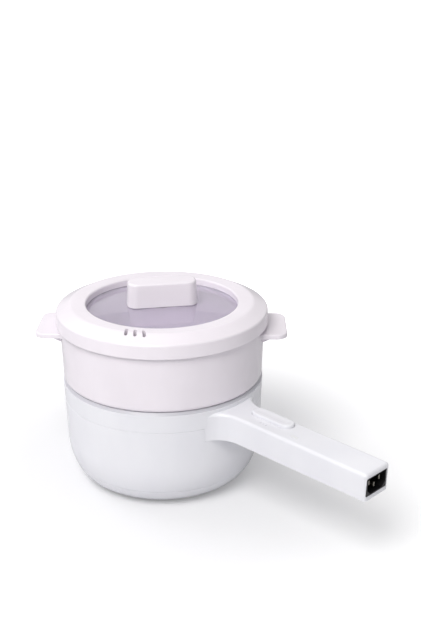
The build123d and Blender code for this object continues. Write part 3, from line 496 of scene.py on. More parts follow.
def bareMetal(name, light, shade, roughness, grain, stretch=(1, 1, 1), relief=0.01, spangle=0.0):
    # bare or plated metal: tone drifts over the surface, and the grain follows how it was made
    material, shader = newFinish(name, Metallic=1.0)
    drift = addNode(material, "TexNoise", {"Scale": perMm(9.0), "Detail": 4.0})
    if spangle:
        crystals = addNode(material, "TexVoronoi", {"Scale": perMm(spangle)})
        drift = addNode(material, "Mix", {0: 0.5, 2: drift, 3: crystals.outputs["Color"]})
    tone = (drift, linear(shade), linear(light))
    along = stretchedBy(material, *stretch)
    lines = addNode(material, "TexNoise", {"Vector": along, "Scale": perMm(grain), "Detail": 3.0})
    rough = addNode(material, "MapRange", {0: lines, 3: roughness - 0.08, 4: roughness + 0.1})
    return surfaced(material, shader, tone, rough, (lines, relief, 0.6))


def turnedAluminium():
    # die-cast plate faced on a lathe: rings from the tool at 0.6 mm feed over a sandy casting
    material, shader = newFinish("facedCastAluminium", Metallic=1.0)
    rings = addNode(
        material, "TexWave", {"Scale": perMm(0.6) * pi / 10, "Distortion": 0.4, "Detail": 1.0},
        wave_type="RINGS", rings_direction="Z",
    )
    sand = addNode(material, "TexNoise", {"Scale": perMm(0.9), "Detail": 4.0})
    tone = (sand, linear("A9AAAD"), linear("C6C7CA"))
    rough = addNode(material, "MapRange", {0: rings.outputs[1], 3: 0.28, 4: 0.44})
    return surfaced(material, shader, tone, rough, (rings.outputs[1], 0.02, 0.5))


def boardLaminate():
    # FR4 board: green solder mask over copper tracks, which show as slightly raised paler lines
    material, shader = newFinish("solderMaskedLaminate", IOR=1.5)
    black, grey, white = [(c, c, c, 1) for c in (0.0, 0.15, 1.0)]
    tracks = addNode(
        material, "TexBrick",
        {"Scale": perMm(9.0), "Mortar Size": 0.05, "Color1": black, "Color2": grey, "Mortar": white},
    )
    tone = (tracks, linear("12482C"), linear("2C7A4B"))
    weave = addNode(material, "TexNoise", {"Scale": perMm(0.7), "Detail": 2.0})
    rough = addNode(material, "MapRange", {0: weave, 3: 0.29, 4: 0.38})
    return surfaced(material, shader, tone, rough, (tracks, 0.03, 0.6))


def leadSheath(name, light, shade, stripe=None):
    # extruded silicone sheath, slightly dusty; the earth lead is green with yellow bands
    material, shader = newFinish(name, IOR=1.43)
    dust = addNode(material, "TexNoise", {"Scale": perMm(4.0), "Detail": 4.0})
    tone = addNode(
        material, "Mix", {0: dust, 6: linear(shade), 7: linear(light)}, data_type="RGBA",
    )
    if stripe:
        bands = addNode(
            material, "TexWave", {"Scale": perMm(4.0) * pi / 10}, wave_type="BANDS", bands_direction="Y",
        )
        cut = addNode(material, "MapRange", {0: bands.outputs[1], 1: 0.48, 2: 0.52})
        tone = addNode(
            material, "Mix", {0: cut, 6: tone.outputs[2], 7: linear(stripe)}, data_type="RGBA",
        )
    wire(material, tone.outputs[2], shader.inputs["Base Color"])
    rough = addNode(material, "MapRange", {0: dust, 3: 0.42, 4: 0.58})
    wire(material, rough.outputs[0], shader.inputs["Roughness"])
    return material


potGrey = ceramicCoating()
lidTint = temperedGlass()
paleSilicone = softRubber("milkySilicone", "D9D8DF", "CCCBD3", 0.5)
footRubber = softRubber("greyFootRubber", "8E8D92", "7F7E84", 0.7, ior=1.52)
platedSteel = bareMetal("zincPlatedSteel", "C9CACC", "B4B6BA", 0.3, 0.5)
galvanised = bareMetal("galvanisedSheet", "B9BCC0", "9DA1A6", 0.38, 0.8, spangle=7.0)
stainless = bareMetal("annealedStainless", "A39E98", "8A8580", 0.36, 0.6, stretch=(0.3, 0.3, 2))
springWire = bareMetal("springSteel", "8F9296", "74777B", 0.32, 0.3)
brass = bareMetal("yellowBrass", "D8B25E", "B8924A", 0.3, 0.4)
# Nickel-plated pins, their colour darkened far below bare nickel: painted shade for the deep socket they
# sit in
shadedNickel = bareMetal("shadedNickelPlate", "8E8A82", "7C7870", 0.3, 0.5, stretch=(0.05, 1, 1), relief=0.004)
facedPlate = turnedAluminium()
board = boardLaminate()
whiteLead = leadSheath("whiteSiliconeLead", "E7E6E2", "D9D8D3")
earthLead = leadSheath("earthLeadSheath", "3F9A4A", "348440", stripe="E8D23C")
# Screen-printed marks: flat pale grey ink with small voids
printGrey = mouldedPlastic("paleGreyInk", "B9B8C2", "ADACB6", 0.5, orangePeel=0.3, relief=0.004)

nodeFinish = {
    potWhite: ("upper_housing", "handle_cover"),
    paleSilicone: ("rim_gasket", "knob_washer"),
    facedPlate: ("heating_plate",),
    stainless: ("heating_element", "thermal_fuse", "screw_washer"),
    galvanised: ("thermostat_bracket", "heat_shield"),
    platedSteel: ("bracket_screws", "earth_screw", "board_screws", "shield_spacers"),
    brass: ("element_terminals", "earth_lug"),
    phenolicBrown: ("thermostat",),
    board: ("circuit_board",),
    componentGrey: ("board_components", "button_switch"),
    diffuserWhite: ("indicator_light", "indicator_lens"),
    whiteLead: ("mains_leads", "heater_leads"),
    earthLead: ("earth_lead",),
}
for material, names in nodeFinish.items():
    for name in names:
        nodes[name].data.materials.clear()
        nodes[name].data.materials.append(material)
print("finishes ready")


# Pot shell

shell = {
    "bellyRadius": 95.2,  # where the wall starts to round in
    "bellyHeight": 47.0,
    "baseRadius": 72.0,
    "base": 3.0,
    "wall": 2.4,
    "slope": 0.0337,  # how fast the wall widens upwards
    "seam": 83.4,
    "baseSeam": 19.0,
    "seamRound": 0.4,
    "seamGap": 0.2,  # the lower piece stops this far short, which draws the seam
    "lap": (91.9, 93.5, 4.0),  # lip inside the upper seam: bore, radius, height
    "lip": (85.0, 87.1, 3.5),  # lip inside the lower seam
    "notch": ((50.0, 170.0), 66.6, (70.2, 95.0)),  # under the handle's root: reach, width, heights
    "arcSteps": 16,
}


def wallAt(height, inset=0.0):
    # outside radius of the pot's wall, or its inside with inset
    if height >= shell["bellyHeight"]:
        return shell["bellyRadius"] - inset + (height - shell["bellyHeight"]) * shell["slope"]
    wide = shell["bellyRadius"] - shell["baseRadius"] - inset
    deep = shell["bellyHeight"] - shell["base"] - inset
    return shell["baseRadius"] + wide * sqrt(max(0, 1 - ((shell["bellyHeight"] - height) / deep) ** 2))


def bellyArc(top, bottom, inset=0.0):
    # points of the rounded belly between two heights, evenly spaced round its arc
    deep = shell["bellyHeight"] - shell["base"] - inset
    start, end = [asin(min(1, (shell["bellyHeight"] - z) / deep)) for z in (top, bottom)]
    points = []
    for step in range(1, shell["arcSteps"]):
        z = shell["bellyHeight"] - deep * sin(start + (end - start) * step / shell["arcSteps"])
        points.append((wallAt(z, inset), z))
    return points


def makeLowerHousing():
    top = extent("lower_housing")[1].z
    seam, baseSeam, inside = shell["seam"], shell["baseSeam"], shell["wall"]
    bore, lapRadius, lapHeight = shell["lap"]
    edge = seam - shell["seamGap"]
    corners = [
        (wallAt(edge), edge, shell["seamRound"]),
        (shell["bellyRadius"], shell["bellyHeight"]),
        *bellyArc(shell["bellyHeight"], baseSeam),
        (wallAt(baseSeam), baseSeam, shell["seamRound"]),
        (wallAt(baseSeam, inside), baseSeam),
        *reversed(bellyArc(shell["bellyHeight"], baseSeam, inside)),
        (wallAt(shell["bellyHeight"], inside), shell["bellyHeight"]),
        (wallAt(seam - lapHeight, inside), seam - lapHeight),
        (bore, seam - lapHeight),
        (bore, top, 0.3),
        (lapRadius, top, 0.3),
        (lapRadius, edge),
    ]
    # room for the part of the upper housing that reaches below the seam
    (start, end), width, heights = shell["notch"]
    notch = prism(blockCorners(end - start, width, centre=((start + end) / 2, 0)), *heights)
    bm = carved(turned(corners), notch)
    makePiece("lowerHousing", bm, potWhite, "pot", "lower_housing")


base = {
    "towers": (60, 180, 300),  # screw towers, degrees
    "towerCircle": 56.0,
    "tower": ((5.5, 8.0), (4.6, 13.0)),  # radius and top of the two steps
    "pocket": (3.8, 6.6),  # radius and top of the screw's pocket
    "bore": (2.2, 20.0),  # radius and top of the screw's hole
    "feet": (45, 135, 225, 315),
    "footCircle": 62.0,
    "footSeat": (7.1, 1.0),
    "plate": (52.0, 26.0, 3.0, 0.3),  # bare recess on the underside: length, width, corner, depth
}


def ringPlaces(circle, angles):
    return [(circle * cos(radians(a)), circle * sin(radians(a))) for a in angles]


def makeBaseCover():
    bottom, seam, inside = shell["base"], shell["baseSeam"], shell["wall"]
    bore, lipRadius, lipHeight = shell["lip"]
    edge = seam - shell["seamGap"]
    corners = [
        (0, bottom),
        (shell["baseRadius"], bottom),
        *reversed(bellyArc(edge, bottom)),
        (wallAt(edge), edge, shell["seamRound"]),
        (lipRadius + 0.15, edge),
        (lipRadius, seam + lipHeight, 0.4),
        (bore, seam + lipHeight, 0.4),
        (bore, seam - lipHeight),
        (wallAt(seam - lipHeight, inside), seam - lipHeight),
        *bellyArc(seam - lipHeight, bottom + inside, inside),
        (shell["baseRadius"], bottom + inside),
        (0, bottom + inside),
    ]
    bm = turned(corners)
    towerPlaces = ringPlaces(base["towerCircle"], base["towers"])
    for radius, top in base["tower"]:
        bm = carved(bm, rods(radius, bottom + 1, top, towerPlaces, 40), "UNION")
    radius, top = base["pocket"]
    pockets = rods(radius, bottom - 1, top, towerPlaces, 40)
    length, width, corner, depth = base["plate"]
    plate = prism(blockCorners(length, width, corner), bottom - 1, bottom + depth)
    radius, depth = base["footSeat"]
    footPlaces = ringPlaces(base["footCircle"], base["feet"])
    seats = rods(radius, bottom - 1, bottom + depth, footPlaces, 48)
    bm = carved(bm, joined([pockets, plate, seats]))
    radius, top = base["bore"]
    bm = carved(bm, rods(radius, bottom, top, towerPlaces))
    makePiece("baseCover", bm, potWhite, "pot", "base_cover")


foot = {
    "radius": 7.0,
    "round": 0.6,
    "hollow": (3.8, 3.4, 0.7),  # underneath: radius at the mouth, at the roof, and depth
}


def makeFeet():
    top = extent("feet")[1].z
    mouth, roof, deep = foot["hollow"]
    corners = [
        (0, deep), (roof, deep, 0.25), (mouth, 0), (foot["radius"], 0, foot["round"]),
        (foot["radius"], top), (0, top),
    ]
    bm = moved(turned(corners, 48), at(base["footCircle"], 0))
    makePiece("rubberFeet", around(bm, base["feet"]), footRubber, "pot", "feet")


rim = {
    "bevelFoot": 100.4,
    "bevelRound": 0.8,
    "flat": 94.5,  # where the top bevel meets the level ring
    "recess": (92.8, 2.0),  # radius and depth of the inner pot's seat
    "bore": 90.2,
    "shelf": 5.0,
    "skirtBore": 92.2,
}


def makeRimRing():
    low, high = extent("rim_ring")
    skirt = wallAt(low.z, shell["wall"] + 0.1)
    recess, depth = rim["recess"]
    corners = [
        (high.x, rim["bevelFoot"]),
        (rim["flat"], high.z, rim["bevelRound"]),
        (recess, high.z, 0.25),
        (recess, high.z - depth),
        (rim["bore"], high.z - depth, 0.3),
        (rim["bore"], high.z - rim["shelf"], 0.3),
        (rim["skirtBore"], high.z - rim["shelf"]),
        (rim["skirtBore"], low.z, 0.3),
        (skirt, low.z, 0.3),
        (skirt, rim["bevelFoot"]),
    ]
    makePiece("rimRing", turned(corners), rimGrey, "pot", "rim_ring")


innerPot = {
    "mouth": 87.8,
    "mouthRound": 1.6,
    "wall": 1.8,
    "floorRadius": 68.0,
    "corner": 18.0,
    "flange": 1.5,
}


def makeInnerPot():
    low, high = extent("inner_pot")
    wall, corner = innerPot["wall"], innerPot["corner"]
    side = innerPot["floorRadius"] + corner
    corners = [
        (0, low.z),
        (side, low.z, corner),
        (innerPot["mouth"] + wall, high.z - innerPot["flange"]),
        (high.x, high.z - innerPot["flange"], 0.4),
        (high.x, high.z, 0.6),
        (innerPot["mouth"], high.z, innerPot["mouthRound"]),
        (side - wall, low.z + wall, corner - wall),
        (0, low.z + wall),
    ]
    makePiece("innerPot", turned(corners), potGrey, "pot", "inner_pot")


makeLowerHousing()
makeBaseCover()
makeFeet()
makeRimRing()
makeInnerPot()
print("pot shell built")


# Steamer

steamer = {
    "intoLid": 5.0,  # how far the rim stands above the lid's lower edge
    "baseRadius": 96.2,
    "wallTop": 97.9,
    "lip": (98.6, 4.8, 0.7),  # radius, height and step under it
    "mouth": 95.3,
    "thickness": 2.5,
    "rounds": (4.2, 3.4, 2.0, 0.8),  # outer base, inner base, rim outside, rim inside
    "spigot": (87.1, 2.4, 4.0),  # radius, wall, depth
    "holes": (2.0, 15.0, 5),  # radius, pitch, rings
    "holeRound": 0.3,
}

ear = {
    "angles": (44, 224),
    "width": 60.0,
    "reach": 119.0,
    "thickness": 4.8,
    "drop": 9.5,  # below the steamer's rim
    "corner": 10.0,
    "root": 5.0,
    "rootCircle": 97.3,
    "inWall": (95.6, 5, 10),  # it ends inside the wall: radius, degrees past the root, steps
    "rounds": (1.4, 0.8),
    "ribs": (-18.0, 18.0),
    "rib": (94.3, 109.0, 8.0, 1.2, 3.0),  # start, end, depth at both, thickness
    "ribSink": 0.5,  # into the ear
}


def makeSteamer():
    rimTop = extent("lid_ring")[0].z + steamer["intoLid"]
    floor = extent("steamer_tray")[0].z + steamer["spigot"][2]
    lipRadius, lipHeight, lipStep = steamer["lip"]
    spigot, spigotWall, spigotDepth = steamer["spigot"]
    outerBase, innerBase, rimOut, rimIn = steamer["rounds"]
    thickness = steamer["thickness"]
    corners = [
        (0, floor),
        (spigot - spigotWall, floor),
        (spigot - spigotWall, floor - spigotDepth, 0.5),
        (spigot, floor - spigotDepth, 0.9),
        (spigot, floor),
        (steamer["baseRadius"], floor, outerBase),
        (steamer["wallTop"], rimTop - lipHeight - lipStep),
        (lipRadius, rimTop - lipHeight, 0.3),
        (lipRadius, rimTop, rimOut),
        (steamer["mouth"], rimTop, rimIn),
        (steamer["baseRadius"] - thickness, floor + thickness, innerBase),
        (0, floor + thickness),
    ]
    bm = turned(corners)
    holeRadius, pitch, rings = steamer["holes"]
    holes = [(0.0, 0.0)]
    for ring in range(1, rings + 1):
        holes += ringPlaces(ring * pitch, [60 * i / ring for i in range(6 * ring)])
    bm = carved(bm, rods(holeRadius, floor - 1, floor + 4, holes, 20))
    heights = (floor, floor + thickness)
    reach = (rings * pitch + 2 * holeRadius) * mm
    inField = lambda e: max(v.co.xy.length for v in e.verts) < reach
    bm = softened(bm, steamer["holeRound"], lambda e: inField(e) and any(level(z)(e) for z in heights))
    earTop = rimTop - ear["drop"]
    parts = [bm, around(makeEar(earTop), ear["angles"])]
    makePiece("steamerTray", joined(parts), steamerWhite, "steamer", "steamer_tray")


def makeEar(top):
    low = top - ear["thickness"]
    half, circle = ear["width"] / 2, ear["rootCircle"]
    rootAngle = asin(half / circle)
    inside, past, steps = ear["inWall"]
    spread = rootAngle + radians(past)
    turns = [spread - 2 * spread * step / steps for step in range(steps + 1)]
    corners = [
        (ear["reach"], -half, ear["corner"]),
        (ear["reach"], half, ear["corner"]),
        (circle * cos(rootAngle), half, ear["root"]),
        (circle * cos(spread), circle * sin(spread)),
        *[(inside * cos(a), inside * sin(a)) for a in turns],
        (circle * cos(spread), -circle * sin(spread)),
        (circle * cos(rootAngle), -half, ear["root"]),
    ]
    bm = prism(corners, low, top)
    free = lambda edge: min(v.co.xy.length for v in edge.verts) > (inside + 0.5) * mm
    for height, width in zip((top, low), ear["rounds"]):
        softened(bm, width, lambda edge: free(edge) and level(height)(edge), 4)
    ribs = []
    start, end, deep, shallow, thickness = ear["rib"]
    sunk = low + ear["ribSink"]
    for side in ear["ribs"]:
        section = [(start, low - deep), (start, sunk), (end, sunk), (end, low - shallow, 0.6)]
        rib = outlined(section, standing=True)
        bmesh.ops.translate(rib, verts=rib.verts, vec=(0, (side - thickness / 2) * mm, 0))
        ribs.append(softened(thickened(rib, (0, thickness, 0)), 0.5, sharp(57)))
    return joined([bm, *ribs])


makeSteamer()
print("steamer built")


# Lid

lid = {
    "radius": 101.0,
    "sideTop": 170.2,
    "skirtBore": 99.1,
    "shoulder": (87.4, 7.0),  # radius and rounding of the crest
    "sideRound": 2.2,
    "opening": 72.5,
    "openingDrop": 0.6,
    "openingRound": 1.8,
    "seat": (79.4, 169.3),
    "underside": ((82.0, 173.1), (86.6, 173.7), (92.8, 170.7)),
    "innerSkirt": (92.8, 94.8, 158.0),
    "stop": 162.2,  # rests on the steamer's rim
}

slots = {
    "angle": -58.8,
    "pitch": 5.4,
    "circle": 85.8,
    "size": (11.5, 3.0),
    "slant": 16.0,
    "depth": (9.0, 2.0),  # of the cutter below and above the lid's top
    "edge": 0.35,
    "field": (22.0, 174.0, 173.9),  # edges to soften: reach round the middle one, its height, the lowest
}


def makeLidRing():
    low, high = extent("lid_ring")
    seatRadius, seatTop = lid["seat"]
    bore, skirtRadius, skirtLow = lid["innerSkirt"]
    ringTop = extent("retaining_ring")[1].z
    corners = [
        (high.x, low.z, 0.5),
        (lid["radius"], lid["sideTop"], lid["sideRound"]),
        (lid["shoulder"][0], high.z, lid["shoulder"][1]),
        (lid["opening"], high.z - lid["openingDrop"], lid["openingRound"]),
        (lid["opening"], seatTop, 0.3),
        (seatRadius, seatTop),
        (seatRadius, ringTop),
        (lid["underside"][0][0], ringTop),
        *lid["underside"],
        (bore, skirtLow, 0.4),
        (skirtRadius, skirtLow, 0.4),
        (skirtRadius, lid["stop"]),
        (lid["skirtBore"], lid["stop"]),
        (lid["skirtBore"] + high.x - lid["radius"], low.z, 0.4),
    ]
    bm = turned(corners)
    cutters = []
    length, width = slots["size"]
    below, above = slots["depth"]
    for step in (-1, 0, 1):
        cutter = prism(blockCorners(length, width, width / 2 - 0.01), high.z - below, high.z + above)
        place = Matrix.Rotation(radians(slots["angle"] + step * slots["pitch"]), 4, "Z")
        place = place @ at(slots["circle"], 0)
        cutters.append(moved(cutter, place @ Matrix.Rotation(radians(slots["slant"]), 4, "Z")))
    bm = carved(bm, joined(cutters))
    reach, height, lowest = slots["field"]
    turn = radians(slots["angle"])
    middle = Matrix.Rotation(turn, 4, "Z") @ (Vector((slots["circle"], 0, height)) * mm)
    nearSlots = lambda v: (v.co - middle).length < reach * mm and v.co.z > lowest * mm
    bm = softened(bm, slots["edge"], lambda e: nearSlots(e.verts[0]) and sharp(45)(e))
    makePiece("lidRing", bm, steamerWhite, "lid", "lid_ring")


glass = {
    "radius": 77.0,
    "thickness": 4.0,
    "crown": 4.5,
    "opening": 72.5,
    "hole": 3.2,
    "edgeRound": 0.9,
    "rings": 18,
}


def domeSphere():
    # radius of the dome and the height of its centre
    radius = (glass["opening"] ** 2 + glass["crown"] ** 2) / (2 * glass["crown"])
    return radius, extent("lid_glass")[1].z - radius


def makeLidGlass():
    radius, centre = domeSphere()
    inner, outer, rings = glass["hole"], glass["radius"], glass["rings"]
    radii = [inner + (outer - inner) * step / rings for step in range(rings + 1)]
    top = [(r, centre + sqrt(radius ** 2 - r ** 2)) for r in radii]
    under = [(r, centre + sqrt((radius - glass["thickness"]) ** 2 - r ** 2)) for r in reversed(radii)]
    for line in (top, under):
        for end in (0, -1):
            line[end] = (*line[end], glass["edgeRound"] if line[end][0] > 10 else 0.4)
    makePiece("lidGlass", turned([*top, *under]), lidTint, "lid", "lid_glass")


gasket = {"bore": 73.6, "shelf": 0.9}


def makeGlassGasket():
    low, high = extent("glass_gasket")
    shelf = low.z + gasket["shelf"]
    corners = [
        (glass["radius"], high.z, 0.2),
        (high.x, high.z, 0.3),
        (high.x, low.z, 0.3),
        (gasket["bore"], low.z, 0.3),
        (gasket["bore"], shelf, 0.3),
        (glass["radius"], shelf),
    ]
    makePiece("glassGasket", turned(corners), paleSilicone, "lid", "glass_gasket")


retainer = {
    "bore": 73.2,
    "circle": 87.3,  # of screw holes and vents
    "screws": (0, 90, 180, 270),
    "screwHole": 1.6,
    "vent": 2.0,
    "vents": 24,
}


def makeRetainingRing():
    low, high = extent("retaining_ring")
    bore = retainer["bore"]
    bm = turned([(bore, low.z, 0.5), (high.x, low.z, 0.5), (high.x, high.z, 0.2), (bore, high.z)])
    between = [360 * (step + 0.5) / retainer["vents"] for step in range(retainer["vents"])]
    drills = []
    for radius, angles in ((retainer["screwHole"], retainer["screws"]), (retainer["vent"], between)):
        drills.append(rods(radius, low.z - 1, high.z + 1, ringPlaces(retainer["circle"], angles), 24))
    bm = carved(bm, joined(drills))
    makePiece("retainingRing", bm, steamerWhite, "lid", "retaining_ring")


knob = {
    "angle": 55.0,
    "length": 65.0,
    "width": 23.5,
    "corner": 9.5,
    "draft": 3.0,
    "edge": 2.0,
    "footRound": 0.5,
    "wall": 3.0,
    "hollow": 18.0,
    "gap": 0.4,  # above the glass
}


def makeLidKnob():
    top = extent("lid_knob")[1].z
    radius, centre = domeSphere()
    footHeight = extent("lid_glass")[1].z
    atFoot = lambda vert: vert.co.z < (footHeight + 1) * mm
    spread = (top - footHeight) * tan(radians(knob["draft"]))
    bm = prism(blockCorners(knob["length"], knob["width"], knob["corner"]), footHeight, top)
    widen = (1 + 2 * spread / knob["length"], 1 + 2 * spread / knob["width"], 1)
    bmesh.ops.scale(bm, verts=[vert for vert in bm.verts if atFoot(vert)], vec=widen)
    softened(bm, knob["edge"], level(top), 6)
    under = [face for face in bm.faces if face.normal.z < -0.9]
    bmesh.ops.inset_region(bm, faces=under, thickness=knob["wall"] * mm, use_even_offset=True)
    ceiling = list({vert for face in under for vert in face.verts})
    bmesh.ops.translate(bm, verts=ceiling, vec=(0, 0, knob["hollow"] * mm))
    # the foot follows the glass
    for vert in bm.verts:
        if atFoot(vert):
            across = vert.co.xy.length / mm
            vert.co.z = (centre + sqrt((radius + knob["gap"]) ** 2 - across ** 2)) * mm
    softened(bm, knob["footRound"], lambda e: all(atFoot(v) for v in e.verts) and sharp(40)(e), 3)
    bmesh.ops.recalc_face_normals(bm, faces=bm.faces)
    moved(bm, Matrix.Rotation(radians(knob["angle"]), 4, "Z"))
    makePiece("lidKnob", bm, steamerWhite, "lid", "lid_knob")


makeLidRing()
makeLidGlass()
makeGlassGasket()
makeRetainingRing()
makeLidKnob()
print("lid built")


# Handle: button, inlet, printed marks

handle = {
    "root": (97.0, 97.0),  # where the sloping top leaves the pot: x and height
    "end": 258.5,
    "fall": 1.8,
}
slope = atan2(handle["fall"], handle["end"] - handle["root"][0])
onHandle = at(handle["root"][0], 0, handle["root"][1]) @ Matrix.Rotation(slope, 4, "Y")

button = {
    "centre": (139.0, 5.0),
    "size": (46.0, 14.0),
    "rise": 3.0,
    "depth": 5.2,
    "edge": 1.3,
    "flange": (1.05, 0.7, 0.9),  # beyond the ends, beyond the sides, height
    "dish": ((2.6, 0.0), (1.6, 0.35), (0.5, 0.0)),  # finger hollow: each step's width and drop
    "hollow": (42.0, 10.0, 1.0),  # underneath: length, width, height of its roof
    "posts": ((151.0, 2.0, -4.7), (130.0, 1.6, -2.6)),  # switch and spring: x, radius, foot
    "travel": 1.5,
}


def makePowerButton():
    x, y = button["centre"][0] - handle["root"][0], button["centre"][1]
    length, width = button["size"]
    beyondEnd, beyondSide, flangeHeight = button["flange"]
    bottom = -button["depth"]
    cap = prism(blockCorners(length, width, width / 2 - 0.02), bottom + 0.3, button["rise"])
    softened(cap, button["edge"], level(button["rise"]), 5)
    topFaces = [face for face in cap.faces if face.normal.z > 0.99]
    for step, drop in button["dish"]:
        bmesh.ops.inset_region(
            cap, faces=topFaces, thickness=step * mm, depth=-drop * mm, use_even_offset=True,
        )
    flangeLength, flangeWidth = length + 2 * beyondEnd, width + 2 * beyondSide
    flange = prism(
        blockCorners(flangeLength, flangeWidth, flangeWidth / 2 - 0.02), bottom, bottom + flangeHeight,
    )
    length, width, roof = button["hollow"]
    hollow = prism(blockCorners(length, width, width / 2), bottom - 1, roof)
    parts = [carved(carved(cap, flange, "UNION"), hollow)]
    for along, radius, end in button["posts"]:
        parts.append(rod(radius, end, roof + 0.3, (along - button["centre"][0], 0.0), 24))
    bm = joined(parts)
    moved(bm, onHandle @ at(x, y))
    makePiece("powerButton", bm, potWhite, "button", "power_button")


spring = {
    "place": (130.0, 5.0),
    "coil": (2.4, 0.35),  # radius of the wire's path, and of the wire
    "shut": (1, 0.72),  # at each end: turns that lie closed, and their rise per turn
    "open": 4.5,  # turns between them
    "steps": 32,  # per turn
}


def makeButtonSpring():
    # wound from one ring of the wire's section
    low, high = extent("button_spring")
    coilRadius, wireRadius = spring["coil"]
    shutTurns, shutRise = spring["shut"]
    openRise = high.z - low.z - 2 * wireRadius - 2 * shutTurns * shutRise
    start = at(coilRadius, 0, low.z + wireRadius) @ Matrix.Rotation(pi / 2, 4, "X")
    bm = bmesh.new()
    bmesh.ops.create_circle(bm, segments=12, radius=wireRadius * mm, matrix=start)
    ring = bm.verts[:] + bm.edges[:]
    shutEnd = (shutTurns, shutTurns * shutRise)
    for turns, rise in (shutEnd, (spring["open"], openRise), shutEnd):
        steps = int(turns * spring["steps"])
        ring = bmesh.ops.spin(
            bm, geom=ring, cent=(0, 0, 0), axis=(0, 0, 1), dvec=(0, 0, rise / steps * mm),
            angle=2 * pi * turns, steps=steps, use_merge=False,
        )["geom_last"]
    bmesh.ops.holes_fill(bm, edges=[edge for edge in bm.edges if edge.is_boundary], sides=0)
    bmesh.ops.recalc_face_normals(bm, faces=bm.faces)
    x, y = spring["place"]
    moved(bm, at(x, y))
    piece = makePiece("buttonSpring", bm, springWire, "pot", "button_spring")
    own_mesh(piece)


inlet = {
    "centre": (-0.8, 82.6),  # y and height
    "size": (27.2, 16.8),
    "corner": 1.2,
    "body": (25.8, 25.9, 0.4),  # behind the collar: width, total depth, shift to the side
    "collar": 1.9,
    "recess": (24.4, 14.6, 4.2, 18.0),  # width, height, cut corners, depth
    "recessCorner": 0.6,
    "mouthEdge": 0.7,
    "pin": (2.0, 4.0, 27.5, 0.25, 0.7),  # width, height, length, rounding, tip
    "pins": ((-7.0, 1.6), (7.0, 1.6), (0.0, -2.4)),
}


def facingOut():
    # stands a lying shape up in the handle's end: its x goes across, its y up, its z outwards
    face = extent("inlet_housing")[1].x
    y, z = inlet["centre"]
    axes = Matrix(((0, 0, 1, 0), (1, 0, 0, 0), (0, 1, 0, 0), (0, 0, 0, 1)))
    return at(face, y, z) @ axes


def makeInlet():
    width, height = inlet["size"]
    collar = prism(blockCorners(width, height, inlet["corner"]), -inlet["collar"], 0)
    softened(collar, 0.3, level(0), 3)
    bodyWidth, depth, shift = inlet["body"]
    body = prism(blockCorners(bodyWidth, height - 0.02, 0.4, (shift, 0)), -depth, -inlet["collar"] + 0.3)
    bm = carved(collar, body, "UNION")
    across, up, cut, deep = inlet["recess"]
    corner = inlet["recessCorner"]
    mouth = [
        (-across / 2 + cut, -up / 2), (across / 2 - cut, -up / 2), (across / 2, -up / 2 + cut),
        (across / 2, up / 2, corner), (-across / 2, up / 2, corner), (-across / 2, -up / 2 + cut),
    ]
    bm = carved(bm, prism(mouth, -deep, 2))
    halfWay = across / 2 + 0.01
    atMouth = lambda e: level(0)(e) and all(abs(v.co.x) < halfWay * mm for v in e.verts)
    softened(bm, inlet["mouthEdge"], atMouth, 3)
    moved(bm, facingOut())
    makePiece("inletHousing", bm, inletBlack, "pot", "inlet_housing")
    pinWidth, pinHeight, length, corner, tip = inlet["pin"]
    front = extent("inlet_pins")[1].x
    setback = extent("inlet_housing")[1].x - front
    bars = []
    for y, z in inlet["pins"]:
        bar = prism(blockCorners(pinWidth, pinHeight, corner, (y, z)), -setback - length, -setback)
        bars.append(softened(bar, tip, level(-setback), 3))
    bm = moved(joined(bars), facingOut())
    # the pins take the darkened nickel, painted shade of the deep socket
    makePiece("inletPins", bm, shadedNickel, "pot", "inlet_pins")


marks = {
    "text": "0  1  2",
    "height": 3.2,
    "place": (139.0, -8.0),
    "gap": 0.02,  # the ink stands this far off the plastic
}


def makeHandleMarks():
    curve = bpy.data.curves.new("marks", "FONT")
    curve.body, curve.size = marks["text"], marks["height"] * mm
    curve.align_x, curve.align_y = "CENTER", "CENTER"
    blank = bpy.data.objects.new("marks", curve)
    scene.collection.objects.link(blank)
    depsgraph = bpy.context.evaluated_depsgraph_get()
    bm = bmesh.new()
    bm.from_mesh(bpy.data.meshes.new_from_object(blank.evaluated_get(depsgraph)))
    bpy.data.objects.remove(blank)
    x, y = marks["place"][0] - handle["root"][0], marks["place"][1]
    moved(bm, onHandle @ at(x, y, marks["gap"]))
    makePiece("handleMarks", bm, printGrey, "pot", None)


makePowerButton()
makeButtonSpring()
makeInlet()
makeHandleMarks()
print("handle fitted")


# Screws

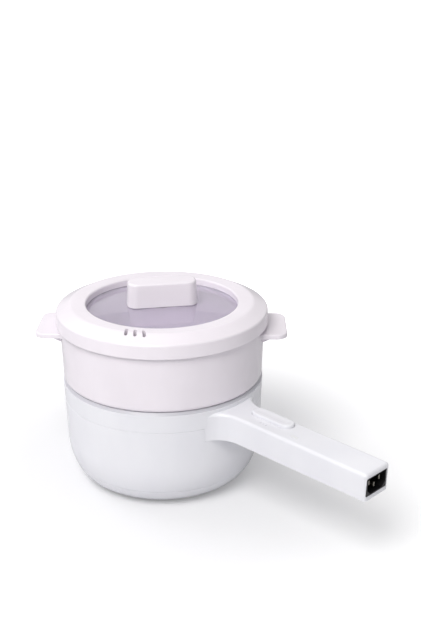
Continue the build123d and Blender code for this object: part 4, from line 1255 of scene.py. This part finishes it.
screw = {
    "pitch": 0.8,
    "core": 0.8,  # radius inside the thread, as a share of the shank's
    "thread": (0.6, 1.5),  # start below the head, and how far short of the length it stays
    "crown": 0.7,  # rounding of the head, as a share of its height
    "tip": (0.2, 0.8),  # radius and length of the point
    "cross": (0.62, 0.36),  # reach as a share of the head, width as a share of the reach
    "crossDepth": (0.6, 1.1),  # as a share of the head's height, and at most
}

screwSets = {
    # node, body, places, (head radius, head height, shank radius)
    "baseScrews": ("base_screws", "pot", ringPlaces(base["towerCircle"], base["towers"]), (3.5, 2.2, 1.75)),
    "ringScrews": (
        "ring_screws", "lid", ringPlaces(retainer["circle"], retainer["screws"]), (2.6, 1.4, 1.1),
    ),
    "knobScrew": ("knob_screw", "lid", [(0.0, 0.0)], (4.6, 2.6, 2.2)),
    "coverScrews": ("handle_screws", "pot", [(104.0, 0.0), (208.0, 0.0)], (3.0, 1.4, 1.2)),
}


def makeScrew(headRadius, headHeight, shankRadius, length):
    # pan head with a cross recess on top, thread below; the seat of the head is at height 0
    core, pitch = shankRadius * screw["core"], screw["pitch"]
    tipRadius, tipLength = screw["tip"]
    start, short = screw["thread"]
    thread = []
    for step in range(int((length - short) / pitch)):
        z = -(start + step * pitch)
        thread += [(core, z), (shankRadius, z - pitch / 2)]
    corners = [
        (0, headHeight), (headRadius, headHeight, headHeight * screw["crown"]), (headRadius, 0), (core, 0),
        *thread, (core, -length + tipLength), (tipRadius, -length), (0, -length),
    ]
    bm = turned(corners, 32)
    reach, width = screw["cross"]
    share, most = screw["crossDepth"]
    arm, deep = headRadius * reach, min(headHeight * share, most)
    for turn in (0, 90):
        slit = prism(blockCorners(2 * arm, arm * width), headHeight - deep, headHeight + 1)
        bm = carved(bm, moved(slit, Matrix.Rotation(radians(turn), 4, "Z")))
    return bm


def makeScrews():
    # heads underneath, shanks upwards
    for name, (node, body, places, sizes) in screwSets.items():
        low, high = extent(node)
        seat = low.z + sizes[1]
        parts = []
        for x, y in places:
            place = at(x, y, seat) @ Matrix.Rotation(pi, 4, "X")
            parts.append(moved(makeScrew(*sizes, high.z - seat), place))
        makePiece(name, joined(parts), platedSteel, body, node)


makeScrews()
print("screws placed")
